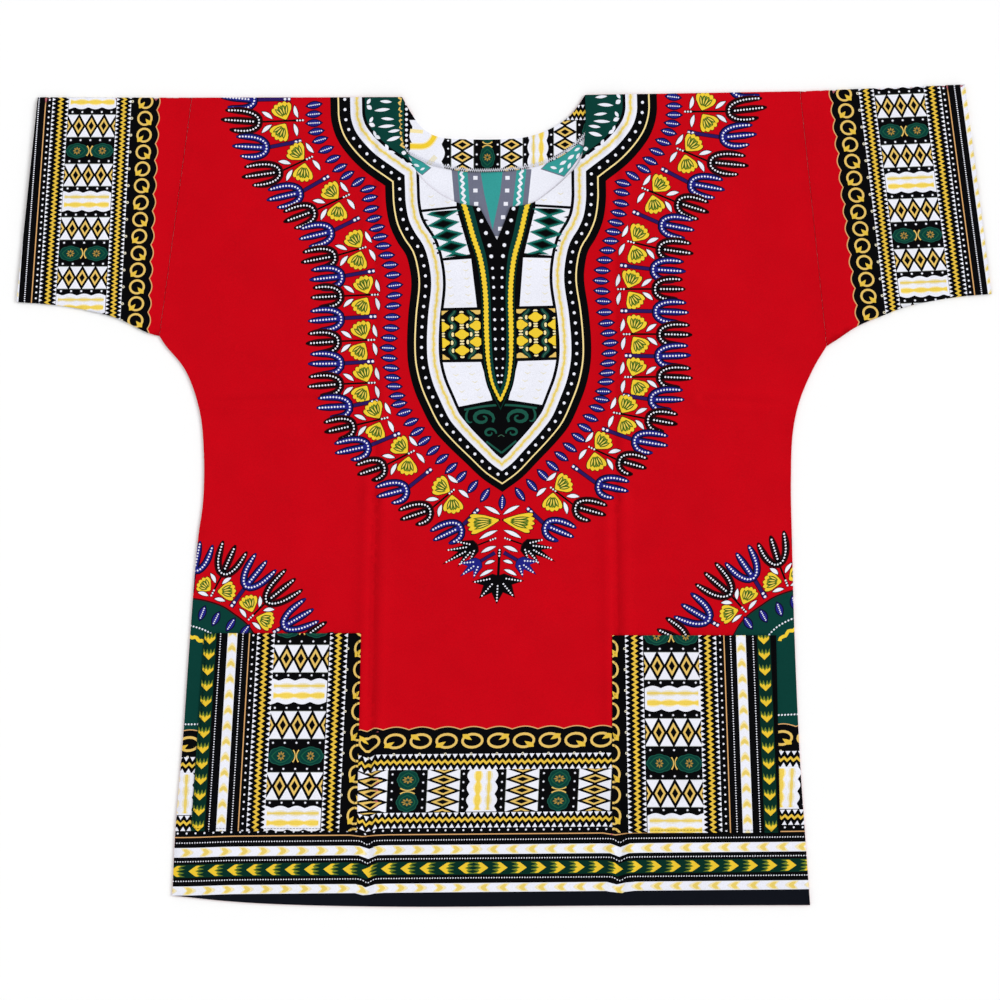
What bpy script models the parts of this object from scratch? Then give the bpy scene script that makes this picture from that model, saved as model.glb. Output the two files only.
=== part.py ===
"""Dashiki shirt laid flat, front up: each cut piece is one closed wall of cloth.

Metres, +Z up. The garment rests on z = 0 with its neck towards +Y, its hem towards -Y and its front facing +Z.
Left is -X and right is +X. The tables below are in millimetres.

The back is a flat panel. The front lies on it, 0.3 mm clear at the seams, and rises a little between them in low
swells, with the sharp fold lines of a packed shirt. Each sleeve is a flattened tube. The pockets and the neck
facing are made from the points of the panel that they lie on, moved out.
"""

import math

import bmesh
import bpy
import numpy as np
from mathutils import Vector
from mathutils.geometry import delaunay_2d_cdt

MM = 0.001

# ---------------------------------------------------------------- driving sizes, mm
CLOTH = 1.2  # thickness of a wall of cloth
SEAM_GAP = 0.3  # clearance between two pieces where they meet
FACING_CLOTH = 1.0  # the facing's wall
STEP = 19.0  # spacing of the mesh on the panels
SLEEVE_STATIONS = 12  # rings along a sleeve
SLEEVE_COLUMNS = 13  # points across each of a sleeve's two layers
FOLD_POINTS = 3  # points round a sleeve's folded edge

FRONT_BED = CLOTH + SEAM_GAP  # height of the front's underside at a seam

# ---------------------------------------------------------------- outlines, mm
# Side edges of the body from the armhole seam's foot down to the hem. Columns: x, y.
SIDE_LEFT = (
    (-323, 149.5),
    (-317.5, 141),
    (-299, 118),
    (-285.5, 80),
    (-281.5, 42),
    (-282, -4),
    (-287, -42),
    (-294.5, -135),
    (-301, -229),
    (-308, -314),
    (-311, -375),
)
SIDE_RIGHT = (
    (302.5, 140),
    (291.5, 122),
    (277.5, 90),
    (271, 61),
    (269, 14),
    (270, -42),
    (272.5, -135),
    (277.5, -248),
    (282, -314),
    (287, -384),
)
# Hem edge between the two side edges. Columns: x, y.
HEM = ((-311, -375), (-257, -380.5), (-203, -383.5), (-97, -385.5), (95, -384.5), (287, -384))
# Upper ends of the armhole seams and of the two shoulder seams at the neck.
ARMHOLE_TOP_LEFT = (-292.5, 373)
ARMHOLE_TOP_RIGHT = (277.5, 379)
NECK_LEFT = (-95.5, 373.5)
NECK_RIGHT = (76, 375.5)
# Back neck edge from left to right. Columns: x, y.
BACK_NECK = (
    NECK_LEFT,
    (-87, 358.5),
    (-76, 344),
    (-61, 336),
    (-38, 334),
    (0, 334),
    (18, 335.5),
    (36, 340.5),
    (52, 348.5),
    (65, 359.5),
    NECK_RIGHT,
)
# Front neck edge, left and right of the slit. Columns: x, y.
FRONT_NECK_LEFT = (
    NECK_LEFT,
    (-97.5, 360),
    (-96.5, 342),
    (-92.5, 325),
    (-78, 298),
    (-63, 284.5),
    (-45, 275),
    (-23, 270.5),
)
SLIT_FOOT = (-6.5, 239.5)
FRONT_NECK_RIGHT = (
    (6, 270.5),
    (27, 274.5),
    (43, 285),
    (58, 298),
    (71, 313),
    (75.5, 334),
    (76.5, 356),
    NECK_RIGHT,
)
# Inner, overlocked edge of the neck facing from right to left. Columns: x, y.
FACING_EDGE = (
    (84, 345),
    (73, 333),
    (52, 317),
    (24, 307),
    (-22, 303),
    (-46, 305),
    (-74, 312),
    (-92, 322),
    (-104, 334),
)
# Outer corners of the facing at the two shoulder seams.
FACING_END_LEFT = (-104, 370)
FACING_END_RIGHT = (85, 372)
# Corners of each pocket. Columns: x, y.
POCKET_LEFT = ((-281, -129), (-293.5, -314.5), (-138, -314.5), (-134, -129))
POCKET_RIGHT = ((101.5, -131), (101.5, -316), (259, -316), (255, -131))
# A sleeve's open end and its underside, from the cuff's lower corner to the armhole seam's foot.
CUFF_TOP_LEFT = (-437, 373.5)
SLEEVE_UNDER_LEFT = ((-457, 181.5), (-421, 178.5), (-388, 173), (-361, 165.5), (-334, 152.5), (-323, 149.5))
CUFF_TOP_RIGHT = (432, 385.5)
SLEEVE_UNDER_RIGHT = ((457, 189), (424, 186), (377, 177), (356, 169), (332, 159), (312, 146), (302.5, 140))

# ---------------------------------------------------------------- folds, mm
# Sharp fold lines on the front. Columns: x and y at one end, x and y at the other, depth of the groove, height of
# the rise beside it, half-width of the groove.
CREASES = (
    (-122, 374, -121, -4, 0.9, 0.7, 5.0),
    (-121, -4, -129, -385, 1.2, 0.9, 5.5),
    (105, 374, 104, -4, 0.8, 0.6, 5.0),
    (104, -4, 110, -385, 1.1, 0.8, 5.5),
    (-284, 87, -178, 91, 0.9, 0.5, 5.0),
    (188, 90, 275, 86, 0.5, 0.4, 5.0),
)
# Low broad swells of the front. Columns: x, y, half-length, half-width, turn in degrees, height.
SWELLS = (
    (-205, 235, 120, 62, 74, 1.3),
    (192, 215, 130, 58, -80, 1.1),
    (-200, -20, 105, 50, 88, 1.5),
    (190, -10, 125, 55, 95, 1.3),
    (-10, -75, 95, 75, 10, 1.4),
    (-30, 140, 90, 60, 80, 0.9),
    (-5, -235, 130, 60, 4, 1.2),
    (-215, -220, 90, 55, 82, 0.9),
    (190, -235, 95, 52, -84, 1.0),
    (225, 130, 62, 34, 60, 0.8),
    (-235, 150, 58, 30, -50, 0.7),
)
# Low swells of the sleeves' upper layers: columns as above.
SLEEVE_SWELLS = (
    (-368, 290, 70, 40, 80, 1.3),
    (-395, 215, 45, 32, 20, 0.8),
    (-325, 245, 85, 22, 84, 0.6),
    (350, 300, 75, 38, -82, 1.2),
    (398, 235, 60, 30, -60, 0.9),
    (305, 240, 80, 20, -84, 0.6),
)
SEAM_FADE = 34.0  # distance over which a swell dies away towards a seam
FACING_RISE = FACING_CLOTH + SEAM_GAP  # how far the front is lifted where the facing lies beneath it
FACING_LIFT_FULL = 20.0  # distance from the facing up to which the front keeps the whole lift
FACING_LIFT_END = 52.0  # distance from the facing at which the lift has died away


# ---------------------------------------------------------------- plane curves
def curve_through(rows, step):
    """Points about step apart on a centripetal Catmull-Rom curve through the rows."""
    rows = np.array(rows, float)
    first = 2 * rows[0] - rows[1]
    last = 2 * rows[-1] - rows[-2]
    knots = np.vstack([first, rows, last])
    points = [rows[0]]
    for i in range(1, len(knots) - 2):
        before, start, end, after = knots[i - 1 : i + 3]
        count = max(1, round(float(np.linalg.norm(end - start)) / step))
        t0 = 0.0
        t1 = t0 + max(1e-6, np.linalg.norm(start - before)) ** 0.5
        t2 = t1 + max(1e-6, np.linalg.norm(end - start)) ** 0.5
        t3 = t2 + max(1e-6, np.linalg.norm(after - end)) ** 0.5
        for t in np.linspace(t1, t2, count + 1)[1:]:
            a1 = (before * (t1 - t) + start * (t - t0)) / (t1 - t0)
            a2 = (start * (t2 - t) + end * (t - t1)) / (t2 - t1)
            a3 = (end * (t3 - t) + after * (t - t2)) / (t3 - t2)
            b1 = (a1 * (t2 - t) + a2 * (t - t0)) / (t2 - t0)
            b2 = (a2 * (t3 - t) + a3 * (t - t1)) / (t3 - t1)
            points.append((b1 * (t2 - t) + b2 * (t - t1)) / (t2 - t1))
    return np.array(points)


def straight(start, end, step):
    """Points about step apart on a straight line, both ends included."""
    start = np.array(start, float)
    end = np.array(end, float)
    count = max(1, round(float(np.linalg.norm(end - start)) / step))
    return start + np.linspace(0, 1, count + 1)[:, None] * (end - start)


def joined(*runs):
    """One closed loop of the runs, with each shared end point kept once."""
    loop = []
    for run in runs:
        for point in run:
            if not loop or np.linalg.norm(point - loop[-1]) > 0.05:
                loop.append(point)
    if np.linalg.norm(loop[0] - loop[-1]) < 0.05:
        loop.pop()
    return np.array(loop)


def inside(points, loop):
    """True for each point that lies inside the loop: an odd number of edges is crossed going to +X."""
    start = loop
    end = np.roll(loop, -1, axis=0)
    x = points[:, 0][:, None]
    y = points[:, 1][:, None]
    spans = (start[:, 1] > y) != (end[:, 1] > y)
    rise = np.where(end[:, 1] == start[:, 1], 1.0, end[:, 1] - start[:, 1])
    cross = start[:, 0] + (y - start[:, 1]) * (end[:, 0] - start[:, 0]) / rise
    return (spans & (x < cross)).sum(axis=1) % 2 == 1


def distance_to(points, run):
    """Distance from each point to the nearest of the run's segments."""
    start = run[:-1]
    along = run[1:] - start
    square = np.maximum((along**2).sum(axis=1), 1e-9)
    offset = points[:, None, :] - start[None]
    t = np.clip((offset * along).sum(axis=2) / square, 0, 1)
    return np.linalg.norm(offset - t[..., None] * along, axis=2).min(axis=1)


def closed_run(loop):
    return np.vstack([loop, loop[:1]])


# ---------------------------------------------------------------- outlines of the panels
def body_loop(neck):
    """The body panel's outline, against the clock from the left armhole seam's top."""
    left = curve_through(SIDE_LEFT, STEP)
    right = curve_through(SIDE_RIGHT, STEP)
    return joined(
        straight(ARMHOLE_TOP_LEFT, SIDE_LEFT[0], STEP),
        left,
        curve_through(HEM, STEP),
        right[::-1],
        straight(SIDE_RIGHT[0], ARMHOLE_TOP_RIGHT, STEP),
        straight(ARMHOLE_TOP_RIGHT, NECK_RIGHT, STEP),
        neck[::-1],
        straight(NECK_LEFT, ARMHOLE_TOP_LEFT, STEP),
    )


def front_neck():
    """The front's neck edge from left to right, down and up the slit."""
    left = curve_through(FRONT_NECK_LEFT, 10)
    right = curve_through(FRONT_NECK_RIGHT, 10)
    down = straight(FRONT_NECK_LEFT[-1], SLIT_FOOT, 10)
    up = straight(SLIT_FOOT, FRONT_NECK_RIGHT[0], 10)
    return np.vstack([left, down[1:], up[1:], right[1:]])


# ---------------------------------------------------------------- heights of the cloth
def swell_height(points, rows):
    """Sum of the swells: each row is a bell that is long one way and narrow the other."""
    height = np.zeros(len(points))
    for x, y, length, width, turn, rise in rows:
        c = math.cos(math.radians(turn))
        s = math.sin(math.radians(turn))
        dx = points[:, 0] - x
        dy = points[:, 1] - y
        u = (dx * c + dy * s) / length
        v = (dy * c - dx * s) / width
        height += rise * np.exp(-0.5 * 4 * (u**2 + v**2))
    return height


def crease_height(points):
    """Each crease is a narrow trough between two low rises, and fades over its last few millimetres."""
    height = np.zeros(len(points))
    for x0, y0, x1, y1, depth, rise, width in CREASES:
        run = np.array([(x0, y0), (x1, y1)], float)
        away = distance_to(points, run)
        height += rise * np.exp(-(((away - 2.2 * width) / (1.6 * width)) ** 2))
        height -= depth * np.exp(-((away / width) ** 2))
    return height


def front_under(points, outline, facing):
    """Height of the front's underside. It starts at the bed along every seam and never comes below it."""
    away = distance_to(points, closed_run(outline))
    near = np.clip(away / SEAM_FADE, 0, 1)
    fade = near * near * (3 - 2 * near)
    form = 0.5 + swell_height(points, SWELLS) + crease_height(points)
    beyond = np.where(inside(points, facing), 0.0, distance_to(points, closed_run(facing)))
    near = np.clip((FACING_LIFT_END - beyond) / (FACING_LIFT_END - FACING_LIFT_FULL), 0, 1)
    lift = near * near * (3 - 2 * near)
    return FRONT_BED + fade * np.maximum(form, 0.0) + FACING_RISE * lift


# ---------------------------------------------------------------- walls of cloth
def grid_inside(loop, step, clear):
    """Points of a staggered grid that are inside the loop and at least clear from it."""
    low = loop.min(axis=0)
    high = loop.max(axis=0)
    rows = []
    for i, y in enumerate(np.arange(low[1] + step / 2, high[1], step * 0.87)):
        x = np.arange(low[0] + (i % 2) * step / 2, high[0], step)
        rows.append(np.column_stack([x, np.full(len(x), y)]))
    points = np.vstack(rows)
    points = points[inside(points, loop)]
    return points[distance_to(points, closed_run(loop)) > clear]


def crease_points(loop):
    """Rows of points along each crease: on its line, on both flanks and on both rises."""
    rows = []
    for x0, y0, x1, y1, _, _, width in CREASES:
        line = straight((x0, y0), (x1, y1), STEP)
        along = line[-1] - line[0]
        across = np.array([-along[1], along[0]]) / np.linalg.norm(along)
        for offset in (-3.4, -1.2, 0.0, 1.2, 3.4):
            rows.append(line + across * offset * width)
    points = np.vstack(rows)
    points = points[inside(points, loop)]
    return points[distance_to(points, closed_run(loop)) > 4.0]


def thinned(points, others, clear):
    """The points that are at least clear from every one of the others."""
    gaps = np.linalg.norm(points[:, None, :] - others[None], axis=2).min(axis=1)
    return points[gaps > clear]


def triangulated(loop, points, inner_loops=()):
    """Delaunay triangles of the loop and the points, with the edges of every inner loop kept whole."""
    coords = [loop]
    edges = []
    start = len(loop)
    for inner in inner_loops:
        coords.append(inner)
        edges += [(start + i, start + (i + 1) % len(inner)) for i in range(len(inner))]
        start += len(inner)
    coords.append(points)
    flat = [Vector((float(x), float(y))) for x, y in np.vstack(coords)]
    result = delaunay_2d_cdt(flat, edges, [list(range(len(loop)))], 1, 1e-4)
    return np.array([tuple(v) for v in result[0]]), np.array([tuple(f) for f in result[2]])


def cloth_object(name, points, triangles, under, over, colour, roughness):
    """A closed wall over plane triangles: the upper face, the lower face turned round, and a rim between them."""
    used, triangles = np.unique(triangles, return_inverse=True)
    triangles = triangles.reshape(-1, 3)
    points = points[used]
    count = len(points)
    lower = np.column_stack([points, under[used]])
    upper = np.column_stack([points, over[used]])
    directed = np.concatenate([triangles[:, [0, 1]], triangles[:, [1, 2]], triangles[:, [2, 0]]])
    pairs = {(int(a), int(b)) for a, b in directed}
    rim = [(a, b) for a, b in sorted(pairs) if (b, a) not in pairs]
    faces = [tuple(int(i) + count for i in t) for t in triangles]
    faces += [tuple(int(i) for i in t[::-1]) for t in triangles]
    for a, b in rim:
        faces.append((a, b, b + count))
        faces.append((a, b + count, a + count))
    return mesh_object(name, np.vstack([lower, upper]), faces, colour, roughness)


def mesh_object(name, points, faces, colour, roughness):
    mesh = bpy.data.meshes.new(name)
    mesh.from_pydata([tuple(p) for p in np.asarray(points) * MM], [], faces)
    work = bmesh.new()
    work.from_mesh(mesh)
    bmesh.ops.recalc_face_normals(work, faces=work.faces)
    work.to_mesh(mesh)
    work.free()
    mesh.shade_smooth()
    mesh.set_sharp_from_angle(angle=math.radians(35))
    obj = bpy.data.objects.new(name, mesh)
    bpy.context.collection.objects.link(obj)
    mesh.materials.append(cloth_material(name, colour, roughness))
    return obj


def cloth_material(name, colour, roughness):
    material = bpy.data.materials.new(name + "_cloth")
    material.use_nodes = True
    shader = material.node_tree.nodes["Principled BSDF"]
    shader.inputs["Base Color"].default_value = (*colour, 1.0)
    shader.inputs["Roughness"].default_value = roughness
    shader.inputs["Metallic"].default_value = 0.0
    return material


# ---------------------------------------------------------------- colours (linear)
RED = (0.56, 0.004, 0.010)
RED_REVERSE = (0.50, 0.10, 0.11)
BLACK = (0.006, 0.006, 0.008)
OLIVE_WHITE = (0.62, 0.60, 0.48)


# ---------------------------------------------------------------- the pieces
def build_back():
    """The back panel is flat on both faces, so only its outline carries points."""
    loop = body_loop(curve_through(BACK_NECK, 10))
    points, triangles = triangulated(loop, grid_inside(loop, 60, 20))
    under = np.zeros(len(points))
    cloth_object("back", points, triangles, under, under + CLOTH, RED_REVERSE, 0.8)


def facing_loop():
    """The facing's outline: the back's neck edge, an end at each shoulder seam, and the overlocked edge."""
    neck = curve_through(BACK_NECK, 10)
    loop = joined(
        neck,
        straight(neck[-1], FACING_END_RIGHT, 10),
        straight(FACING_END_RIGHT, FACING_EDGE[0], 10),
        curve_through(FACING_EDGE, 10),
        straight(FACING_EDGE[-1], FACING_END_LEFT, 10),
        straight(FACING_END_LEFT, neck[0], 10),
    )
    return loop[::-1]


def build_facing():
    """A crescent on the back panel, under the front at both ends."""
    loop = facing_loop()
    points, triangles = triangulated(loop, np.empty((0, 2)))
    under = np.full(len(points), CLOTH + SEAM_GAP)
    cloth_object("neck_facing", points, triangles, under, under + FACING_CLOTH, OLIVE_WHITE, 0.75)


def build_front_and_pockets():
    """The front, and on it the pockets, made from the front's own points and triangles moved out."""
    loop = body_loop(front_neck())
    pockets = {}
    for name, corners in (("pocket_left", POCKET_LEFT), ("pocket_right", POCKET_RIGHT)):
        runs = [straight(a, b, STEP) for a, b in zip(corners, corners[1:] + corners[:1])]
        pockets[name] = joined(*runs)
    kept = crease_points(loop)
    for pocket in pockets.values():
        kept = kept[distance_to(kept, closed_run(pocket)) > 3.5]
    grid = thinned(grid_inside(loop, STEP, STEP * 0.45), kept, STEP * 0.5)
    for pocket in pockets.values():
        grid = grid[distance_to(grid, closed_run(pocket)) > STEP * 0.4]
    points, triangles = triangulated(loop, np.vstack([kept, grid]), pockets.values())
    under = front_under(points, loop, facing_loop())
    cloth_object("front", points, triangles, under, under + CLOTH, RED, 0.8)
    centres = points[triangles].mean(axis=1)
    lifted = under + CLOTH + SEAM_GAP
    for name, pocket in pockets.items():
        own = triangles[inside(centres, pocket)]
        cloth_object(name, points, own, lifted, lifted + CLOTH, BLACK, 0.8)


def sleeve_ring(low, high, outer, lift):
    """One ring of a flattened tube from the underside point low to the top fold point high.

    The outer ring is a stadium as thick as two cloths and the gap between them. The inner ring is the same
    shape one cloth further in. Its upper layer stands up by lift times the sleeve's rise.
    """
    inset = 0.0 if outer else CLOTH
    thick = 2 * CLOTH + SEAM_GAP - 2 * inset
    radius = thick / 2
    middle = CLOTH + SEAM_GAP / 2
    span = np.linalg.norm(high - low)
    along = (high - low) / span
    reach = CLOTH + SEAM_GAP / 2
    t = np.linspace(reach, span - reach, SLEEVE_COLUMNS)
    flat = low + t[:, None] * along
    lower = np.column_stack([flat, np.full(len(t), middle - radius)])
    upper = np.column_stack([flat, np.full(len(t), middle + radius)])
    upper[:, 2] += lift * sleeve_rise(flat, t / span)
    turns = np.linspace(-0.5, 0.5, FOLD_POINTS + 2)[1:-1] * math.pi
    out = np.cos(turns) * radius
    up = np.sin(turns) * radius + middle
    top = np.column_stack([flat[-1] + out[:, None] * along, up])
    bottom = np.column_stack([flat[0] - out[:, None] * along, up])
    return np.vstack([lower, top, upper[::-1], bottom[::-1]])


def sleeve_rise(points, share):
    """How far a sleeve's upper layer stands up, none at its two folded edges."""
    fade = np.clip(np.minimum(share, 1 - share) * 5, 0, 1)
    return fade * (0.2 + swell_height(points, SLEEVE_SWELLS))


def build_sleeve(name, cuff_top, under_rows, armhole_top, seam_side):
    """A flattened tube in rings from the open end to the armhole seam."""
    under = curve_through(under_rows, 4)
    lengths = np.concatenate([[0], np.cumsum(np.linalg.norm(np.diff(under, axis=0), axis=1))])
    share = np.linspace(0, 1, SLEEVE_STATIONS)
    low_x = np.interp(share * lengths[-1], lengths, under[:, 0])
    low_y = np.interp(share * lengths[-1], lengths, under[:, 1])
    lows = np.column_stack([low_x, low_y])
    highs = straight(cuff_top, armhole_top, 1e9)
    highs = highs[0] + share[:, None] * (highs[1] - highs[0])
    # The seam's end stops short of the body by the seam gap.
    lows[-1, 0] -= seam_side * SEAM_GAP
    highs[-1, 0] -= seam_side * SEAM_GAP
    # The upper layer comes down to the body's own height at the armhole seam.
    lifts = np.clip((1 - share) * 4, 0, 1)
    outer = [sleeve_ring(low, high, True, lift) for low, high, lift in zip(lows, highs, lifts)]
    inner = [sleeve_ring(low, high, False, lift) for low, high, lift in zip(lows, highs, lifts)]
    size = len(outer[0])
    points = np.vstack(outer + inner)
    first_inner = size * SLEEVE_STATIONS
    faces = []
    for row in range(SLEEVE_STATIONS - 1):
        for i in range(size):
            j = (i + 1) % size
            a = row * size + i
            b = row * size + j
            faces.append((a, b, b + size, a + size))
            faces.append(tuple(first_inner + k for k in (a + size, b + size, b, a)))
    for row in (0, SLEEVE_STATIONS - 1):
        for i in range(size):
            a = row * size + i
            b = row * size + (i + 1) % size
            faces.append((a, b, first_inner + b, first_inner + a))
    mesh_object(name, points, faces, BLACK, 0.8)


def main():
    for obj in list(bpy.data.objects):
        bpy.data.objects.remove(obj, do_unlink=True)
    build_back()
    build_facing()
    build_front_and_pockets()
    build_sleeve("sleeve_left", CUFF_TOP_LEFT, SLEEVE_UNDER_LEFT, ARMHOLE_TOP_LEFT, 1)
    build_sleeve("sleeve_right", CUFF_TOP_RIGHT, SLEEVE_UNDER_RIGHT, ARMHOLE_TOP_RIGHT, -1)


if __name__ == "__main__":
    main()
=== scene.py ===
"""Dresses the laid-out dashiki shirt: printed cotton panels, sewn edges, stage and camera.

Laid out as a Blender add-on and run as a script. The tables are in millimetres: +X to the right, +Y to the
neck, +Z up. Every printed shape is a plane outline from a formula or a short table, laid down in order as a
printer lays inks. The cloth is triangulated along those outlines, so that each of its faces holds one ink.
"""

import math

import bpy
import numpy as np
from bpy.props import FloatProperty, FloatVectorProperty, PointerProperty
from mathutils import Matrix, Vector
from mathutils.geometry import delaunay_2d_cdt


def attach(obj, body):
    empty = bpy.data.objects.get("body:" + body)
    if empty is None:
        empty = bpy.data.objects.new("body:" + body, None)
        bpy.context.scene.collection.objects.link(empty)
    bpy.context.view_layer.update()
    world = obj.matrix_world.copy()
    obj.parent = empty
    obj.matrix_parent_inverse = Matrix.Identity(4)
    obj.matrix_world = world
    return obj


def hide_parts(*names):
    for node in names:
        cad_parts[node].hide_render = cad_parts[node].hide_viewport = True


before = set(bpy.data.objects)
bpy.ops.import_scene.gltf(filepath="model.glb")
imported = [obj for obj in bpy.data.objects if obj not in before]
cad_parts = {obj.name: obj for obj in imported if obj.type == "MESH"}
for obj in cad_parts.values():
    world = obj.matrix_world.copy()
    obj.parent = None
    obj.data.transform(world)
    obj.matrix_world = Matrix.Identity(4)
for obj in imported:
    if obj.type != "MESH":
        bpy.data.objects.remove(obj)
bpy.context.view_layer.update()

bl_info = {
    "name": "Dashiki shirt",
    "version": (1, 0, 0),
    "blender": (4, 5, 0),
    "location": "3D View > Sidebar > Dashiki",
    "description": "Builds a printed dashiki shirt that lies flat",
    "category": "Object",
}

MM = 0.001

# ---- the cut, mm
CLOTH = 1.2  # height that a layer of cloth takes up, hems and seams included
SEAM_GAP = 0.3  # clearance between two layers
BED = CLOTH + SEAM_GAP  # where the front and the facing lie on the back
FACING_CLOTH = 1
FOLD_RADIUS = CLOTH + SEAM_GAP / 2  # of a sleeve's top edge
SIDE_LEFT = (
    (-323, 149.5), (-317.5, 141), (-299, 118), (-285.5, 80), (-281.5, 42), (-282, -4), (-287, -42),
    (-294.5, -135), (-301, -229), (-308, -314), (-311, -375),
)
SIDE_RIGHT = (
    (302.5, 140), (291.5, 122), (277.5, 90), (271, 61), (269, 14), (270, -42), (272.5, -135), (277.5, -248),
    (282, -314), (287, -384),
)
HEM = ((-311, -375), (-257, -380.5), (-203, -383.5), (-97, -385.5), (95, -384.5), (287, -384))
ARMHOLE_TOP_LEFT = (-292.5, 373)
ARMHOLE_TOP_RIGHT = (277.5, 379)
NECK_LEFT = (-95.5, 373.5)
NECK_RIGHT = (76, 375.5)
BACK_NECK = (
    NECK_LEFT, (-87, 358.5), (-76, 344), (-61, 336), (-38, 334), (0, 334), (18, 335.5), (36, 340.5),
    (52, 348.5), (65, 359.5), NECK_RIGHT,
)
FRONT_NECK_LEFT = (
    NECK_LEFT, (-97.5, 360), (-96.5, 342), (-92.5, 325), (-78, 298), (-63, 284.5), (-45, 275), (-23, 270.5),
)
SLIT_FOOT = (-6.5, 239.5)
FRONT_NECK_RIGHT = (
    (6, 270.5), (27, 274.5), (43, 285), (58, 298), (71, 313), (75.5, 334), (76.5, 356), NECK_RIGHT,
)
FACING_EDGE = (
    (84, 345), (73, 333), (52, 317), (24, 307), (-22, 303), (-46, 305), (-74, 312), (-92, 322), (-104, 334),
)
FACING_END_LEFT = (-104, 370)
FACING_END_RIGHT = (85, 372)
# The pockets. Columns: side, node, corners, the last side of which is the mouth.
POCKETS = (
    (-1, "pocket_left", ((-281, -129), (-293.5, -314.5), (-138, -314.5), (-134, -129))),
    (1, "pocket_right", ((101.5, -131), (101.5, -316), (259, -316), (255, -131))),
)
# The sleeves. Columns: corner at the cuff's top, at the armhole's, the curve along the underarm.
SLEEVES = {
    -1: (
        (-437, 373.5), ARMHOLE_TOP_LEFT,
        ((-457, 181.5), (-421, 178.5), (-388, 173), (-361, 165.5), (-334, 152.5), (-323, 149.5)),
    ),
    1: (
        (432, 385.5), ARMHOLE_TOP_RIGHT,
        ((457, 189), (424, 186), (377, 177), (356, 169), (332, 159), (312, 146), (302.5, 140)),
    ),
}

# ---- folds, mm
# Sharp fold lines. Columns: x and y at one end, at the other, depth of the groove, rise beside it,
# half-width.
CREASES = (
    (-122, 374, -121, -4, 1, 1.2, 3.4),
    (-121, -4, -129, -385, 1.35, 1.5, 3.8),
    (105, 374, 104, -4, 0.9, 1.1, 3.4),
    (104, -4, 110, -385, 1.25, 1.4, 3.8),
    (-284, 87, -178, 91, 1, 0.9, 3.4),
    (188, 90, 275, 86, 0.7, 0.8, 3.4),
)
# Low broad swells of the front and of the sleeves. Columns: x, y, half-length, half-width, turn in degrees,
# height.
SWELLS = (
    (-205, 235, 120, 62, 74, 1.3), (192, 215, 130, 58, -80, 1.1), (-200, -20, 105, 50, 88, 1.5),
    (190, -10, 125, 55, 95, 1.3), (-10, -75, 95, 75, 10, 1.4), (-30, 140, 90, 60, 80, 0.9),
    (-5, -235, 130, 60, 4, 1.2), (-215, -220, 90, 55, 82, 0.9), (190, -235, 95, 52, -84, 1),
    (225, 130, 62, 34, 60, 0.8), (-235, 150, 58, 30, -50, 0.7),
)
SLEEVE_SWELLS = (
    (-368, 290, 70, 40, 80, 1.3), (-395, 215, 45, 32, 20, 0.8), (-325, 245, 85, 22, 84, 0.6),
    (350, 300, 75, 38, -82, 1.2), (398, 235, 60, 30, -60, 0.9), (305, 240, 80, 20, -84, 0.6),
)
SEAM_FADE = 34  # width over which the front's form sets in beside its edges
FACING_RISE = FACING_CLOTH + SEAM_GAP
FACING_LIFT_FULL = 20  # the front is lifted by the whole of it up to this distance from the facing
FACING_LIFT_END = 52  # and no more from this one on
EDGE_ROLL = 2.2  # width over which a turned edge rolls down
EDGE_DROP = 0.7  # how far it rolls down

# ---- inks, sRGB 0 to 255
INKS = {
    "red": (192, 1, 17), "wine": (50, 3, 10), "black": (3, 3, 5),
    "navy": (13, 8, 42), "blue": (30, 32, 124), "violet": (42, 22, 92),
    "white": (231, 232, 242), "pearl": (224, 223, 235), "yellow": (234, 199, 52),
    "gold": (223, 187, 100), "cream": (241, 224, 168), "straw": (226, 200, 104),
    "faint": (226, 219, 196), "tan": (212, 162, 106), "amber": (224, 186, 66),
    "buff": (242, 218, 150), "bronze": (166, 132, 60), "moss": (58, 96, 76),
    "sea": (18, 104, 94), "mist": (170, 174, 172), "green": (6, 58, 51),
    "fern": (26, 82, 68), "lime": (112, 128, 40), "butter": (234, 203, 84),
    "sun": (230, 192, 50), "bottle": (4, 44, 34), "leaf": (24, 84, 60),
    "olive": (54, 92, 24), "smoke": (58, 58, 62), "teal": (52, 150, 146),
    "slate": (108, 111, 130), "night": (13, 16, 24), "reverse": (176, 96, 104),
}


# ==== plane geometry
def between(t, low, high, first, last):
    """From first where t is low to last where t is high, evenly."""
    return (first * (high - t) + last * (t - low)) / (high - low)


def curve_through(rows, step):
    """Points about step apart on a centripetal Catmull-Rom curve through the rows."""
    rows = np.array(rows, float)
    knots = np.vstack([2 * rows[0] - rows[1], rows, 2 * rows[-1] - rows[-2]])
    points = [rows[:1]]
    for before, start, end, after in zip(knots, knots[1:], knots[2:], knots[3:]):
        ends = ((before, start), (start, end), (end, after))
        gaps = [max(1e-6, float(np.linalg.norm(b - a))) ** 0.5 for a, b in ends]
        t0, t1, t2, t3 = np.cumsum([0.0] + gaps)
        count = max(1, round(float(np.linalg.norm((end - start)[:2])) / step))
        t = np.linspace(t1, t2, count + 1)[1:, None]
        a1 = between(t, t0, t1, before, start)
        a2 = between(t, t1, t2, start, end)
        a3 = between(t, t2, t3, end, after)
        b1 = between(t, t0, t2, a1, a2)
        b2 = between(t, t1, t3, a2, a3)
        points.append(between(t, t1, t2, b1, b2))
    return np.vstack(points)


def straight(start, end, step=1e9):
    """Points about step apart on a straight line, both ends included."""
    start = np.array(start, float)
    end = np.array(end, float)
    count = max(1, round(float(np.linalg.norm(end - start)) / step))
    return start + np.linspace(0, 1, count + 1)[:, None] * (end - start)


def joined(*runs):
    """One closed loop of the runs, with each shared end point kept once."""
    loop = np.vstack(runs)
    gap = np.linalg.norm(loop - np.roll(loop, 1, axis=0), axis=1)
    return loop[gap > 0.05]


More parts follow.
